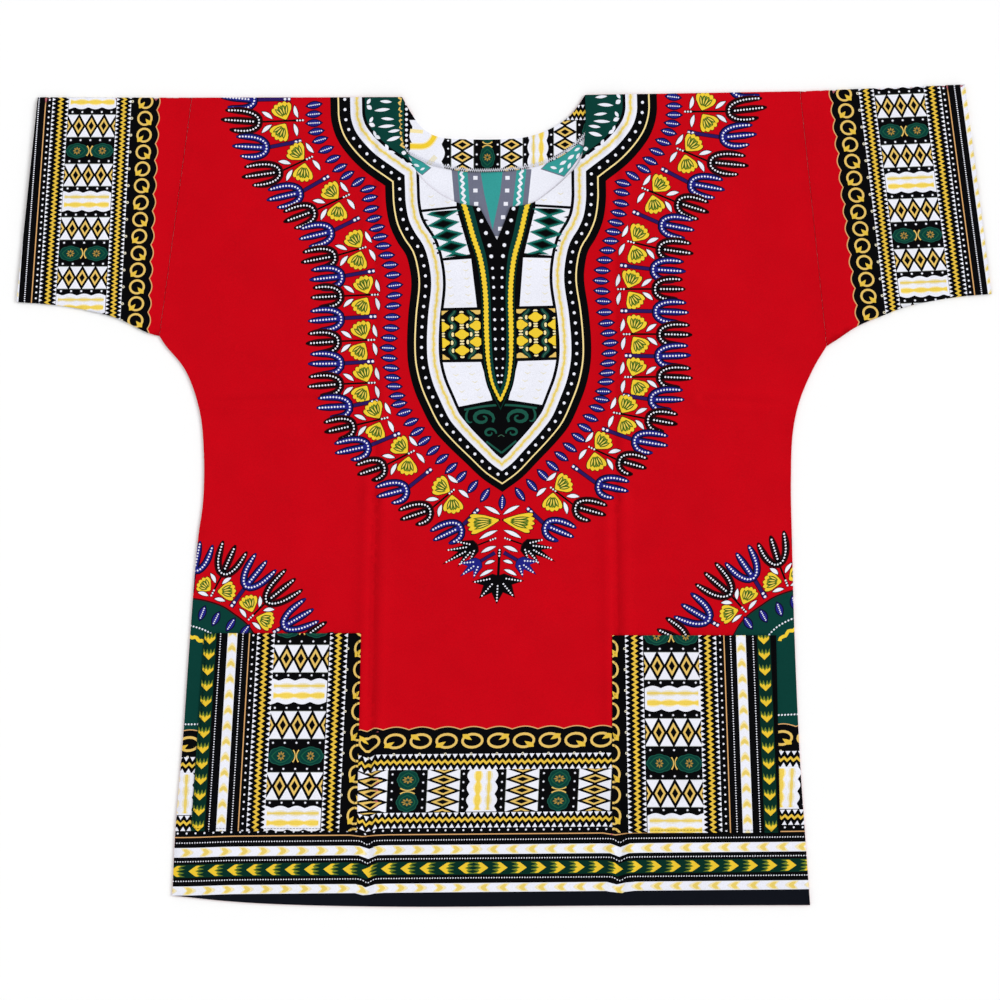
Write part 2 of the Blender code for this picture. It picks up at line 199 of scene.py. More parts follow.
def closed_run(loop):
    return np.vstack([loop, loop[:1]])


def inside(points, loop):
    """True for each point inside the loop: an odd number of edges is crossed going to +X."""
    end = np.roll(loop, -1, axis=0)
    x = points[:, 0][:, None]
    y = points[:, 1][:, None]
    spans = (loop[:, 1] > y) != (end[:, 1] > y)
    rise = np.where(end[:, 1] == loop[:, 1], 1, end[:, 1] - loop[:, 1])
    cross = loop[:, 0] + (y - loop[:, 1]) * (end[:, 0] - loop[:, 0]) / rise
    return (spans & (x < cross)).sum(axis=1) % 2 == 1


def distance_to(points, run):
    """Distance from each point to the nearest of the run's segments, a few thousand points at a time."""
    start = run[:-1]
    along = run[1:] - start
    square = np.maximum((along**2).sum(axis=1), 1e-9)
    parts = []
    for some in np.array_split(points, max(1, len(points) // 4000)):
        away = some[:, None, :] - start[None]
        t = np.clip((away * along).sum(axis=2) / square, 0, 1)
        parts.append(np.linalg.norm(away - t[..., None] * along, axis=2).min(axis=1))
    return np.concatenate(parts)


def smooth(t):
    """0 below 0, 1 above 1, and an S curve between."""
    t = np.clip(t, 0, 1)
    return t * t * (3 - 2 * t)


def lengths_of(path):
    """Distance walked along the path at each of its points."""
    return np.concatenate([[0], np.cumsum(np.linalg.norm(np.diff(path[:, :2], axis=0), axis=1))])


def points_at(path, at):
    """The path's points at these distances along it: every column of the path is interpolated."""
    lengths = lengths_of(path)
    return np.column_stack([np.interp(at, lengths, column) for column in path.T])


def walked(path, step, start=0.5, count=None):
    """Places at equal steps along the path from start steps in, or this count of them from end to end."""
    length = lengths_of(path)[-1]
    at = np.arange(start * step, length, step) if count is None else np.linspace(0, length, count)
    return points_at(path, at)


def unit(vectors):
    """The vectors, each at length one."""
    return vectors / np.maximum(np.linalg.norm(vectors, axis=1), 1e-9)[:, None]


def to_left(along):
    return np.column_stack([-along[:, 1], along[:, 0]])


def normals_of(path):
    """Unit normals on the left of the direction of travel."""
    return to_left(unit(np.gradient(path, axis=0)))


def offset(path, distance):
    """The path moved to its left by distance, with mitred corners: each point moves along the sum of its two
    segments' unit normals, scaled so that both segments move by the whole distance."""
    side = to_left(unit(np.diff(path, axis=0)))
    total = np.vstack([side[:1], side]) + np.vstack([side, side[-1:]])
    scale = 2 / np.maximum((total**2).sum(axis=1), 0.5)
    return path + total * (scale * distance)[:, None]


def spokes(angles, lengths=1):
    """Points at these angles in radians round the origin, and this far from it."""
    return np.column_stack([np.cos(angles) * lengths, np.sin(angles) * lengths])


def turned(points, degrees):
    """The points turned about the origin, against the clock."""
    c = math.cos(math.radians(degrees))
    s = math.sin(math.radians(degrees))
    return points @ np.array([[c, s], [-s, c]])


# ==== inked shapes
# A shape is an ink's name and a closed outline. A drawing is a list of shapes, each over those before it.
def box(ink, x0, y0, x1, y1):
    return [(ink, np.array([(x0, y0), (x1, y0), (x1, y1), (x0, y1)], float))]


def disc(ink, x, y, radius, sides):
    """A regular polygon in place of a circle."""
    t = np.arange(sides) * 2 * math.pi / sides + 0.3
    return [(ink, spokes(t, radius) + (x, y))]


def discs(ink, places, radius, sides=6):
    return [shape for x, y in places[:, :2] for shape in disc(ink, x, y, radius, sides)]


def lens(ink, length, width, bend=0, points=6):
    """A leaf along x: half its width times one minus the square of the share of half its length."""
    t = np.linspace(-1, 1, points + 1)
    half = width / 2 * (1 - t**2)
    middle = bend * (1 - t**2)
    upper = np.column_stack([t * length / 2, middle + half])
    lower = np.column_stack([t * length / 2, middle - half])[::-1][1:-1]
    return [(ink, np.vstack([upper, lower]))]


def ribbon(ink, path, width):
    """A stroke along the path: half the width to either side along the path's normals."""
    path = np.asarray(path, float)
    half = np.broadcast_to(np.asarray(width, float) / 2, len(path))[:, None]
    side = normals_of(path)
    return [(ink, np.vstack([path + side * half, (path - side * half)[::-1]]))]


def tapered(path, width, tip, reach, at_start=False):
    """Widths along a path that narrow to the tip's width over the last share reach of its length, and over
    the first one too where at_start."""
    share = lengths_of(path)
    share = share / share[-1]
    inwards = np.minimum(share, 1 - share) if at_start else 1 - share
    return tip + (width - tip) * np.sqrt(np.clip(inwards / reach, 0, 1))


def wave(path, reach, length):
    """The path swung to either side: reach times the sine of the distance walked."""
    swing = reach * np.sin(lengths_of(path) * 2 * math.pi / length)
    return path + normals_of(path) * swing[:, None]


def placed(drawing, x=0, y=0, turn=0, size=1, mirror=False):
    """The drawing mirrored across x, scaled, turned against the clock and moved."""
    made = []
    for ink, outline in drawing:
        points = outline * (size, -size if mirror else size)
        made.append((ink, turned(points, turn) + (x, y)))
    return made


def grown(outline, middle, share):
    """The outline enlarged from this middle, or made smaller."""
    return middle + (outline - middle) * share


def mapped(drawing, place):
    """The drawing with every outline's points moved by the function place."""
    return [(ink, place(outline)) for ink, outline in drawing]


def trimmed(drawing, x, y, turn):
    """The part of each shape ahead of a line through x, y, where turn is the direction ahead in degrees."""
    ahead = np.array([math.cos(math.radians(turn)), math.sin(math.radians(turn))])
    made = []
    for ink, outline in drawing:
        depth = (outline - (x, y)) @ ahead
        after = np.roll(depth, -1)
        crosses = (depth > 0) != (after > 0)
        share = depth / np.where(crosses, depth - after, 1)
        cut = outline + share[:, None] * (np.roll(outline, -1, axis=0) - outline)
        both = np.stack([outline, cut], axis=1).reshape(-1, 2)
        kept = both[np.stack([depth > 0, crosses], axis=1).ravel()]
        if len(kept) > 2:
            made.append((ink, kept))
    return made


# ==== motifs
def bead(x, y, radius):
    return disc("white", x, y, radius, 6)


def oval_seed():
    """A pointed seed that lies along x, with six beads on its middle line."""
    beads = [shape for x in np.linspace(-4.9, 4.9, 6) for shape in bead(x, 0, 0.7)]
    return lens("navy", 17.2, 8) + lens("blue", 14.4, 5.8) + beads


# Half of a claw's bow, from its outer tip to its foot. Columns: shares of its length and of its reach.
CLAW_CLOSED = ((0.9, 0.98), (0.64, 1.05), (0.36, 1), (0.14, 0.75), (0.02, 0.36), (0, 0))
CLAW_OPEN = ((1, 1), (0.7, 0.92), (0.4, 0.78), (0.2, 0.58), (0.05, 0.3), (0, 0))
CLAW_WIDTH = 4.4
CLAW_TIP = 0.3  # width that its prongs taper to
CLAW_RIM = 2.9  # how much wider the rim is
BEAD_PITCH = 2.85
SMALL_BEAD = 0.95


def claw(ink, rim, length, reach, half, skew):
    """A claw of three prongs that point along +x: a bow through the outer two, and a straight middle one.
    The prong on the -y side is shorter by the share skew."""
    rows = np.array(half) * (length, reach)
    bow = curve_through(np.vstack([rows * (1 + skew / 3, 1), (rows * (1 - skew, -1))[-2::-1]]), 3)
    middle = straight((0.02 * length, 0), (length * 1.04, 0), 3)
    drawing = []
    for colour, extra in ((rim, CLAW_RIM), (ink, 0)):
        widths = (CLAW_WIDTH + extra, CLAW_TIP + extra / 2)
        drawing += ribbon(colour, bow, tapered(bow, *widths, 0.19, at_start=True))
        drawing += ribbon(colour, middle, tapered(middle, *widths, 0.38))
    for path, start in ((bow, 1.2), (middle, 1.8)):
        drawing += discs("white", walked(path, BEAD_PITCH, start)[:-1], SMALL_BEAD)
    return drawing


def fan_flower(length, width, veins=4):
    """A fan that opens along +x from its stalk at the origin. Its rim swings in and out in five round
    scallops, and each vein is a narrow loop."""
    t = np.linspace(-1, 1, 26)
    far = length * (0.9 + 0.1 * np.abs(np.cos(t * 2.5 * math.pi))) * (1 - 0.1 * t**2)
    angle = t * math.atan2(width, 1.4 * length)
    rim = spokes(angle, far)
    hips = np.array([(0.44 * length, 0.38 * width), (0.17 * length, 0.18 * width), (0, 0.6)])
    fan = np.vstack([rim, hips, (hips * (1, -1))[::-1]])
    middle = np.array([length * 0.56, 0])
    drawing = [("wine", grown(fan, middle, 1.09)), ("yellow", fan), ("lime", grown(fan, middle, 0.56))]
    spread = math.degrees(math.atan2(width, 2.7 * length))
    for share in np.linspace(-1, 1, veins):
        loop = lens("olive", length * 0.62, 3.3) + lens("butter", length * 0.44, 1.2)
        drawing += placed(placed(loop, length * 0.52), turn=share * spread)
    return drawing


def petal(length=12, width=3.7, bend=0.6):
    return lens("wine", length + 2.2, width + 1.5, bend) + lens("white", length, width, bend)


def sprig_stem(start, end, width, ink, rim, beads, radius, knob):
    """A stem from start to end that widens to a knob, with beads in a row on it."""
    path = straight(start, end, 4)
    share = np.linspace(0, 1, len(path))
    wide = width + (knob - width) * smooth((share - 0.72) / 0.14) * (1 - 0.5 * smooth((share - 0.93) / 0.07))
    drawing = ribbon(rim, path, wide + 1.3) if rim else []
    drawing += ribbon(ink, path, wide)
    along = (path[-1] - path[0]) / np.linalg.norm(path[-1] - path[0])
    for i in range(beads):
        drawing += bead(*(path[-1] - along * (radius * 2.8 * i + radius * 1.2)), radius)
    return drawing


def heading(base, towards):
    """Direction in degrees from base to towards."""
    return math.degrees(math.atan2(towards[1] - base[1], towards[0] - base[0]))


# The two kinds of sprig. Columns: ink of the claw, of its rim, then the stem's width, ink and rim, the beads
# on its end, their radius, and the width of its knob.
SPRIGS = {
    "blue": ("blue", "navy", 2.8, "violet", "wine", 2, 1.35, 4.2),
    "black": ("black", "wine", 1.7, "black", None, 3, 0.95, 2.6),
}


def sprig(kind, places, reach=9, half=CLAW_CLOSED, skew=0, flowers=True):
    """A claw on a long stem that ends with beads. places holds the claw's foot, its middle tip and the
    stem's end. Beside the black kind's stem are two fan flowers and four petals."""
    foot, tip, end = places
    ink, rim, *stem = SPRIGS[kind]
    drawing = sprig_stem(foot, end, *stem)
    drawing += placed(claw(ink, rim, math.dist(foot, tip), reach, half, skew), *foot, heading(foot, tip))
    if flowers and kind == "black":
        beside = placed(fan_flower(17.3, 22), 25.1, 1.4, 110)
        beside += placed(fan_flower(17.4, 21), 24.4, -2.8, -124)
        for x, y, lean in ((7.6, 5.9, -36), (6.8, -6.8, 37), (35, 8.4, 103), (33.6, -8.8, -78)):
            beside += placed(petal(), x, y, lean)
        drawing += placed(beside, *foot, heading(foot, end), mirror=True)
    return drawing


def ring_hook(length, stroke):
    """A ring drawn as an open oval stroke, with a wedge-shaped leaf that curls in from its open end. length
    is half its size along the strip."""
    t = np.radians(np.linspace(-28, 298, 17))
    size = np.array([length, 6.2])
    leaf = np.array([(0.05, -0.1), (0.5, -0.2), (0.98, -0.42), (1.05, -0.98), (0.5, -1.02), (0.3, -0.6)])
    return ribbon("gold", spokes(t) * size, stroke) + [("amber", leaf * size)]


def medallion(length):
    """A scalloped green blob along x with a pointed oval line on it and a small flower of eight petals."""
    t = np.linspace(0, 2 * math.pi, 33)[:-1]
    swell = 0.92 + 0.08 * np.abs(np.cos(4 * t))
    blob = spokes(t) * (length * 0.24, 7.2) * swell[:, None]
    drawing = [("fern", blob), ("green", blob * 0.93)]
    drawing += lens("leaf", length * 0.36, 10.6, points=10) + lens("green", length * 0.31, 9, points=10)
    for i in range(8):
        drawing += placed(placed(lens("bronze", 2.9, 1.4, points=3), 2.3), turn=45 * i)
    return drawing


def tulip():
    """A flower head that points along +x, with three notches between four spikes at its foot."""
    half = [(5.5, 0), (0.9, 4.9), (-0.5, 5.3), (-4.9, 5.2), (-0.6, 3.2), (-4.4, 1.7), (0.3, 0)]
    front = [(5.5, 0), (0.9, 4.9), (-0.3, 5.2), (-1.7, 4.7), (0.1, 2.7), (-1, 1.5), (1.2, 0)]
    drawing = []
    for ink, rows in (("lime", half), ("sun", front)):
        drawing += [(ink, np.array(rows + [(x, -y) for x, y in rows[-2:0:-1]], float))]
    return drawing


def faint_arrow(width):
    """A soft arrow head that points along -x: three rounded humps inside one another, notched behind."""
    t = np.linspace(-1, 1, 9)
    drawing = []
    for ink, grow in (("faint", 1), ("cream", 0.78), ("straw", 0.52)):
        half = t * width * 0.47 * grow**0.4
        front = np.column_stack([-4.8 * grow * (1 - np.abs(t) ** 1.7), half])
        back = np.column_stack([3.6 * grow * (0.3 + 0.7 * np.abs(t) ** 0.7), half])
        drawing += [(ink, np.vstack([front, back[::-1]]))]
    return drawing


# ==== border strips
# A strip runs along x, and its bands lie across it at their own y. Each band's function draws from x0 to x1,
# with its first shape at the share first of the pitch.
def spots(x0, x1, pitch, first=0.5):
    """Places along a band, a pitch apart."""
    return np.arange(x0 + pitch * first, x1, pitch)


def dot_band(x0, x1, y, radius, pitch, ink="white", sides=5):
    return [shape for x in spots(x0, x1, pitch) for shape in disc(ink, x, y, radius, sides)]


def tooth_band(x0, x1, y, height, pitch):
    """A row of small triangles that point to +y, or to -y where the height is negative."""
    half = pitch * 0.4
    tooth = np.array([(-half, -height / 2), (half, -height / 2), (0, height / 2)])
    return [("white", tooth + (x, y)) for x in spots(x0, x1, pitch, 0.5 if height > 0 else 1)]


def zigzag_band(x0, x1, y, reach, width, pitch):
    """A stroke whose middle swings by reach to either side, once up and once down in each pitch."""
    x = np.arange(x0, x1 + pitch / 4, pitch / 2)
    swing = np.where(np.arange(len(x)) % 2, reach, -reach) + y
    upper = np.column_stack([x, swing + width / 2])
    lower = np.column_stack([x, swing - width / 2])
    return [("amber", np.vstack([upper, lower[::-1]]))]


def ring_band(x0, x1, y, stroke, pitch):
    """Rings with hooks that turn to the two sides by turns."""
    drawing = []
    for i, x in enumerate(spots(x0, x1, pitch)):
        drawing += placed(ring_hook(pitch * 0.385, stroke), x, y, 0, mirror=bool(i % 2))
    return drawing


def diamond(ink, wide, high):
    return [(ink, np.array([(-wide, 0), (0, -high), (wide, 0), (0, high)]))]


def diamond_block(x0, x1, y0, y1):
    """Upright diamonds side by side across the strip on white, gold with a dark middle and a dark rim. The
    outer two stick out of the block, and the bands drawn afterwards cover them."""
    drawing = box("mist", x0 - 0.5, y0, x1 + 0.5, y1) + box("white", x0, y0, x1, y1)
    pitch = (y1 - y0) / 3.8
    tall = (x1 - x0) / 2
    for i in (-2, -1, 0, 1, 2):
        for ink, wide, high in (("black", 0.56, 1.14), ("gold", 0.37, 0.74), ("black", 0.21, 0.4)):
            shape = diamond(ink, high * tall, wide * pitch)
            drawing += placed(shape, (x0 + x1) / 2, (y0 + y1) / 2 + i * pitch)
    return drawing


def scallop_block(x0, x1, y0, y1, scallops=3.43, strong=0.66, weak=0.29):
    """A white block whose long edges bulge in round lobes. A strong and a faint yellow stripe swell and
    thin with them."""
    y = np.linspace(y0, y1, 28)
    lobes = np.abs(np.sin((y - y0) / (y1 - y0) * scallops * math.pi))
    depth = (x1 - x0) * 0.1 * (1 - lobes)
    left = np.column_stack([x0 + depth, y])
    right = np.column_stack([x1 - depth, y])
    drawing = [("white", np.vstack([left, right[::-1]]))]
    stripes = (strong, 0.25, "cream"), (strong, 0.16, "butter"), (weak, 0.2, "faint"), (weak, 0.09, "straw")
    for at, wide, ink in stripes:
        path = np.column_stack([np.full(28, x0 + (x1 - x0) * at), y])[1:-1]
        drawing += ribbon(ink, path, wide * (x1 - x0) * (0.55 + 0.65 * lobes)[1:-1])
    return drawing


def medallion_block(x0, x1, y0, y1):
    """A black block with two medallions across the strip and a gold bow between them."""
    middle = np.array([(x0 + x1) / 2, (y0 + y1) / 2])
    drawing = box("black", x0, y0, x1, y1)
    wide = (x1 - x0) / 14
    for side in (-1, 1):
        for ink, outline in placed(medallion(y1 - y0), turn=90):
            drawing += [(ink, outline * (wide, 1) + middle + (0, side * (y1 - y0) * 0.265))]
        t = np.linspace(-1, 1, 7)
        bow = np.column_stack([t * (x1 - x0) * 0.33, side * (0.6 + 2 * t**2)])
        drawing += ribbon("gold", bow + middle, 0.9 + 0.4 * t**2)
    return drawing


# One repeat of the ladder of blocks. Columns: block, start and end along the strip.
LADDER = (
    ("scallop", 0, 19.6),
    ("diamond", 25, 45.4),
    ("medallion", 51.6, 65.6),
    ("diamond", 71.2, 91.4),
)
LADDER_REPEAT = 96.2
LADDER_BEADS = (22.2, 48.6, 68.3, 93.9)  # rows of beads between the blocks


def ladder_band(x0, x1, y0, y1, stretch, phase, flip=False):
    """Repeats of the ladder stretched along the strip; phase is where a repeat starts."""
    blocks = {"scallop": scallop_block, "diamond": diamond_block, "medallion": medallion_block}
    stripes = {"strong": 0.36, "weak": 0.71} if flip else {}
    repeat = LADDER_REPEAT * stretch
    drawing = []
    for turn in range(math.floor((x0 - phase) / repeat), math.ceil((x1 - phase) / repeat) + 1):
        start = phase + turn * repeat
        for name, low, high in LADDER:
            a = start + low * stretch
            b = start + high * stretch
            if b > x0 and a < x1:
                drawing += blocks[name](a, b, y0, y1, **(stripes if name == "scallop" else {}))
        for at in LADDER_BEADS:
            x = start + at * stretch
            if x0 < x < x1:
                places = np.array([(x, y) for y in np.linspace(y0 + 4, y1 - 4, 5)])
                drawing += discs("smoke", places, 1.5) + discs("white", places, 0.95)
    return drawing


def tulip_band(x0, x1, y, size, pitch, first):
    drawing = box("bottle", x0, y - 6.2, x1, y + 6.2)
    wide = min(1, 0.95 * size)
    for x in spots(x0, x1, pitch, first):
        drawing += [(ink, outline * (size, wide) + (x, y)) for ink, outline in tulip()]
    return drawing


def arrow_band(x0, x1, y, width, pitch, first):
    drawing = box("white", x0, y - width / 2, x1, y + width / 2)
    for x in spots(x0, x1, pitch, first):
        drawing += [(ink, outline * (pitch / 11.8, 1) + (x, y)) for ink, outline in faint_arrow(width)]
    return drawing


def scallop_edge(x0, x1, pitch, far):
    """The strip's black ground down to far, edged with a tan stroke that bulges out beside each ring."""
    x = np.arange(x0, x1 + pitch / 16, pitch / 8)
    path = np.column_stack([x, 1.3 - 2.6 * np.abs(np.sin((x - x0) * math.pi / pitch))])
    return [("black", np.vstack([path, [(path[-1, 0], far), (x0, far)]]))] + ribbon("tan", path, 0.95)


# ==== the print of the body
# The print's own frame: u to the right of its middle line, v down from the shoulders. It leans a little.
PRINT_ORIGIN = (-9.8, 373.5)
PRINT_LEAN = 0.0225
# Half of the yoke's outer edge: the shoulder curve, then the side with its waist down to the tip. Columns:
# u, v.
YOKE_SHOULDER = ((153, -14), (153, 3), (152.5, 19), (147.5, 36), (138.5, 50), (124, 65.5), (103.5, 81))
YOKE_SIDE = (
    (103.5, 81), (103, 100), (99.5, 119.5), (92.5, 135), (85.5, 146), (82, 160), (81, 173.5), (84.5, 202),
    (86.3, 230.5), (85.5, 250), (81, 271), (74.5, 288), (63.5, 310), (50.5, 325.5), (33.5, 342.5),
    (18.8, 357), (0, 370.2),
)
YOKE_TAPER = 0.13  # how much narrower the yoke's bands are at its tip
YOKE_TAPER_FROM = 285  # v at which they begin to narrow
YOKE_TAPER_TO = 355
# Nested fills of the yoke. Columns: ink, distance inside the outer edge.
YOKE_BANDS = (("black", 0), ("buff", 6.8), ("black", 8.2), ("white", 18.7), ("black", 29.6))
YOKE_BEADS = 13.6  # distance of the row of beads inside the edge
YOKE_BEAD_PITCH = 9.6
YOKE_STRIPE = 24.9  # distance of the wavy stripe
YOKE_PANEL = 32.4  # distance at which the blocks begin
CROWN = ((-87.4, 6), (-85.9, -46))  # ends of the gold zigzag on the left shoulder
SHOULDER_BEADS = ((79, 8), (77.5, -56))
# White leaves on the yoke's green shoulders. Columns: u, v, length, width, turn in degrees.
SHOULDER_LEAVES = (
    (100.9, 2.1, 11.5, 2.9, 5), (104.6, 9.8, 15, 3.2, -5), (99.7, 18.3, 12.5, 2.8, 5),
    (100.9, 25.2, 16, 3, -4), (94, 29.8, 11.5, 2.9, -8), (94.6, 37, 13.5, 3.6, -16),
    (117, 1.6, 6.2, 3.2, -58), (116.6, 7.2, 5.8, 4.2, 38), (115, 18.8, 6.2, 3, -60),
    (114.4, 23.6, 6.2, 4, 22), (112, 32, 6.2, 2.6, 70), (109.6, 35.2, 6.4, 3.4, 30),
    (101, 44.6, 5.8, 3, 62), (97.4, 49.6, 8.4, 3.2, 8), (85.2, 50.5, 4.6, 4, 10),
    (86.7, 58.3, 5, 4.8, 0), (80.6, 61.2, 7, 2.8, 6), (76, 57, 5.2, 2.8, 50),
    (72.6, 66.4, 6, 3.2, 70),
)
# Seeds round the yoke stand on this curve. Columns: u, v, turn in degrees of the seed.
SEED_CURVE = (
    (168.3, 3.7, -8), (168.7, 20.6, -2), (163.4, 36.6, -15), (151.7, 54.7, -21), (138.9, 70.4, -29),
    (128.7, 76.8, -31), (119.5, 83.5, -14), (117.1, 102.3, -13), (111.9, 120.3, -12), (106.7, 137.3, -3),
    (100.5, 155.2, -3), (96.7, 174.5, -6), (98.6, 193.7, -5), (100.9, 214.2, 4), (104.1, 232.9, 4),
    (101.7, 251.7, 6), (99.3, 269.1, 2), (96.7, 278.1, -3), (95, 285.6, -10), (84.1, 302.7, -21),
    (72.4, 320.8, -32), (55.9, 338, -34), (47.4, 346.8, -40), (38.5, 355.3, -45),
    (27.7, 364.6, -50), (16.4, 372.7, -56),
)
SEED_PITCH = 9.6
# Sprigs of the outer ring, from the shoulder down, blue and black by turns. Columns: u and v of the claw's
# foot, of its middle tip, and of its stem's end.
RING = (
    (224, -2.5, 255, -6, 190, -2.5),
    (220, 18.4, 254.6, 15.4, 178, 17.7),
    (213.5, 42.7, 244.7, 40.4, 180.6, 37),
    (201.7, 65.6, 236.3, 69.7, 170.2, 51.7),
    (182.8, 85.4, 213.6, 91.7, 155.5, 70.5),
    (170.3, 102.9, 198.4, 112.5, 136.5, 88),
    (154.6, 122.6, 184.3, 128.9, 127.8, 110.1),
    (151.8, 145.6, 182.8, 150.8, 122, 137.7),
    (145.7, 164.8, 175.3, 167.4, 114.7, 160.2),
    (147.1, 183.2, 174.7, 184.1, 111.5, 182.6),
    (147.2, 204.1, 177.4, 206, 114.1, 203),
    (150.5, 225.6, 180, 227, 115.8, 224.9),
    (148.2, 246.4, 178.3, 246.1, 117.2, 245),
    (149.3, 265.6, 179.5, 267.5, 116.3, 265.1),
    (141.1, 286.7, 171.3, 287.5, 114.6, 281.9),
    (138, 304.8, 164.6, 310.3, 105.1, 297.9),
    (124.9, 324.5, 155.1, 330.2, 94.4, 312.8),
    (110.2, 343.4, 134.7, 350.8, 81.1, 329.3),
    (89.9, 365.4, 117.3, 372, 65.7, 346.9),
    (68.2, 385.3, 95.6, 393.8, 44.6, 366.4),
    (39.8, 402.3, 65.1, 413.7, 22.6, 385.5),
)
# Sprigs of the left lower corner, as above, with u to the left.
CORNER_FAN = (
    (290.3, 437.8, 284.3, 410.9, 293.5, 458),
    (263.9, 441.2, 251.5, 415.2, 275.5, 462),
    (242.4, 453.4, 222.7, 430.2, 256.8, 472.2),
    (223.2, 468, 196.5, 447.5, 241.1, 485.1),
    (207.7, 491.6, 180.3, 476.3, 217.9, 497),
    (190, 512, 162, 499, 200, 518),
)
# Flowers of the corner. Columns: u and v of the stalk, of the rim's middle.
CORNER_FLOWERS = (
    (275.9, 456, 285.4, 447.2), (268.6, 457.4, 252.4, 457.2), (237, 477, 241.8, 462.4),
    (233, 482.8, 217.6, 487.8),
)
# Petals of the corner. Columns: u, v, turn in degrees.
CORNER_PETALS = (
    (273, 444.8, 64), (260.1, 447.6, -34), (282.6, 459.6, 20), (267.1, 465.4, 14), (229.8, 467.8, 96),
    (221.3, 475.9, -4), (245.8, 478.2, 54), (233.3, 490.6, 42),
)
# Upper edge of the corner's green field, a row of beads on it and the middle of its zigzag. Columns: u, v.
CORNER_ARC = (
    (310, 463), (292.5, 464.3), (284.5, 465.6), (272.6, 468.9), (262.6, 473.4), (254.8, 479.2),
    (245.8, 486), (239.6, 492.8), (236.4, 498), (231, 512),
)
CORNER_BEADS = ((302, 487), (294.6, 489), (282, 493.3), (270, 501), (262, 512))
CORNER_ZIGZAG = ((304, 496.5), (295.7, 498.8), (289.8, 501), (283.5, 504.3), (276, 512))
CORNER_LOW_BEADS = ((283, 581.5), (314, 581))
# Seeds on the field. Columns: u, v, turn in degrees.
CORNER_SEEDS = ((283.7, 477.4, -67), (271.1, 482.9, -62), (257.4, 488.7, -55), (244.4, 495, -50))
# The right corner is the left one mirrored and drawn out from its middle: how u and v change for each mm of
# u and of v, and how far it is moved.
CORNER_MIDDLE = (240, 440)
CORNER_RIGHT = ((1.0166, -0.1955), (-0.0034, 1.0073))
CORNER_RIGHT_MOVE = (-6.3, 2.7)


def mirrored(drawing):
    """The drawing and its mirror image across the print's middle line."""
    return drawing + mapped(drawing, lambda points: points * (-1, 1))


def print_place(points):
    """From the print's frame, with v upwards, to the cloth: leaned, and moved to the print's origin."""
    u = points[:, 0]
    v = -points[:, 1]
    return np.column_stack([PRINT_ORIGIN[0] + u + PRINT_LEAN * v, PRINT_ORIGIN[1] - v + PRINT_LEAN * u])


def up(rows):
    """Rows of u, v with v turned upwards."""
    rows = np.array(rows, float)
    rows[:, 1] *= -1
    return rows


def across(half):
    """A path from the left end down to the middle line and up to the right end, from its right half."""
    half = half.copy()
    half[-1, 0] = 0
    return np.vstack([half * (-1, 1), half[::-1][1:]])


def inset_half(half, distance):
    """The right half of an outline moved inwards by distance, and cut or drawn out to the middle line."""
    moved = offset(half, -distance)
    past = np.flatnonzero(moved[:, 0] <= 0)
    last = past[0] if len(past) else len(moved) - 1
    before = moved[last - 1]
    along = moved[last] - before
    return np.vstack([moved[:last], before - along * before[0] / along[0]])


def yoke_inset(half, distance):
    """The right half of the yoke's edge moved inwards, less so towards its tip."""
    narrow = 1 - YOKE_TAPER * smooth((-half[:, 1] - YOKE_TAPER_FROM) / (YOKE_TAPER_TO - YOKE_TAPER_FROM))
    return inset_half(half, distance * narrow)


def scroll(ink, x, y, outer, inner, turns, start, width):
    """A spiral stroke, clockwise, whose two radii shrink evenly from outer to inner. It is widest along its
    middle."""
    t = np.linspace(0, 1, 18)
    angle = math.radians(start) - t * turns * 2 * math.pi
    radius = np.array(outer) + (np.array(inner) - outer) * t[:, None]
    path = spokes(angle) * radius
    swell = 0.35 + 0.65 * np.sin(math.pi * np.clip(t, 0.02, 0.98) ** 0.6)
    return placed(ribbon(ink, path, width * swell), x, y)


def spiky_diamond(ink, wide, high, teeth):
    """A diamond whose four sides are cut into small teeth."""
    corners = np.array([(wide, 0), (0, high), (-wide, 0), (0, -high)])
    t = np.linspace(0, 1, 2 * teeth + 1)[:-1, None]
    outline = np.vstack([a + t * (b - a) for a, b in zip(corners, np.roll(corners, -1, axis=0))])
    outline[1::2] *= 0.88
    return [(ink, outline)]


def faint_chevron():
    return ribbon("faint", [(-2.7, 0.9), (0, -0.7), (2.7, 0.9)], [0.5, 1.1, 0.5])


# The yoke's lattice. Its blobs, and the larger gold ones at its corners. Columns: u, v.
LATTICE_BLOBS = (
    (34.6, 207), (34.6, 221.8), (34.6, 236.8), (52.6, 214.4), (52.6, 229.4), (20.6, 213.8), (20.6, 229),
)
LATTICE_CORNERS = ((19.5, 198), (19.5, 245.4), (53.8, 198), (53.8, 245.4))
# Knobs round each blob. Columns: how far off in u and v, half its width and height.
LATTICE_KNOBS = ((8.6, 0, 1.4, 2.2), (-8.6, 0, 1.4, 2.2), (0, 6.1, 2.2, 1.15), (0, -6.1, 2.2, 1.15))
# Its upper, lower and outer edge. Columns: a point of it, the direction inwards in degrees.
LATTICE_EDGES = ((0, -199.3, -90), (0, -245, 90), (53.2, 0, 180))


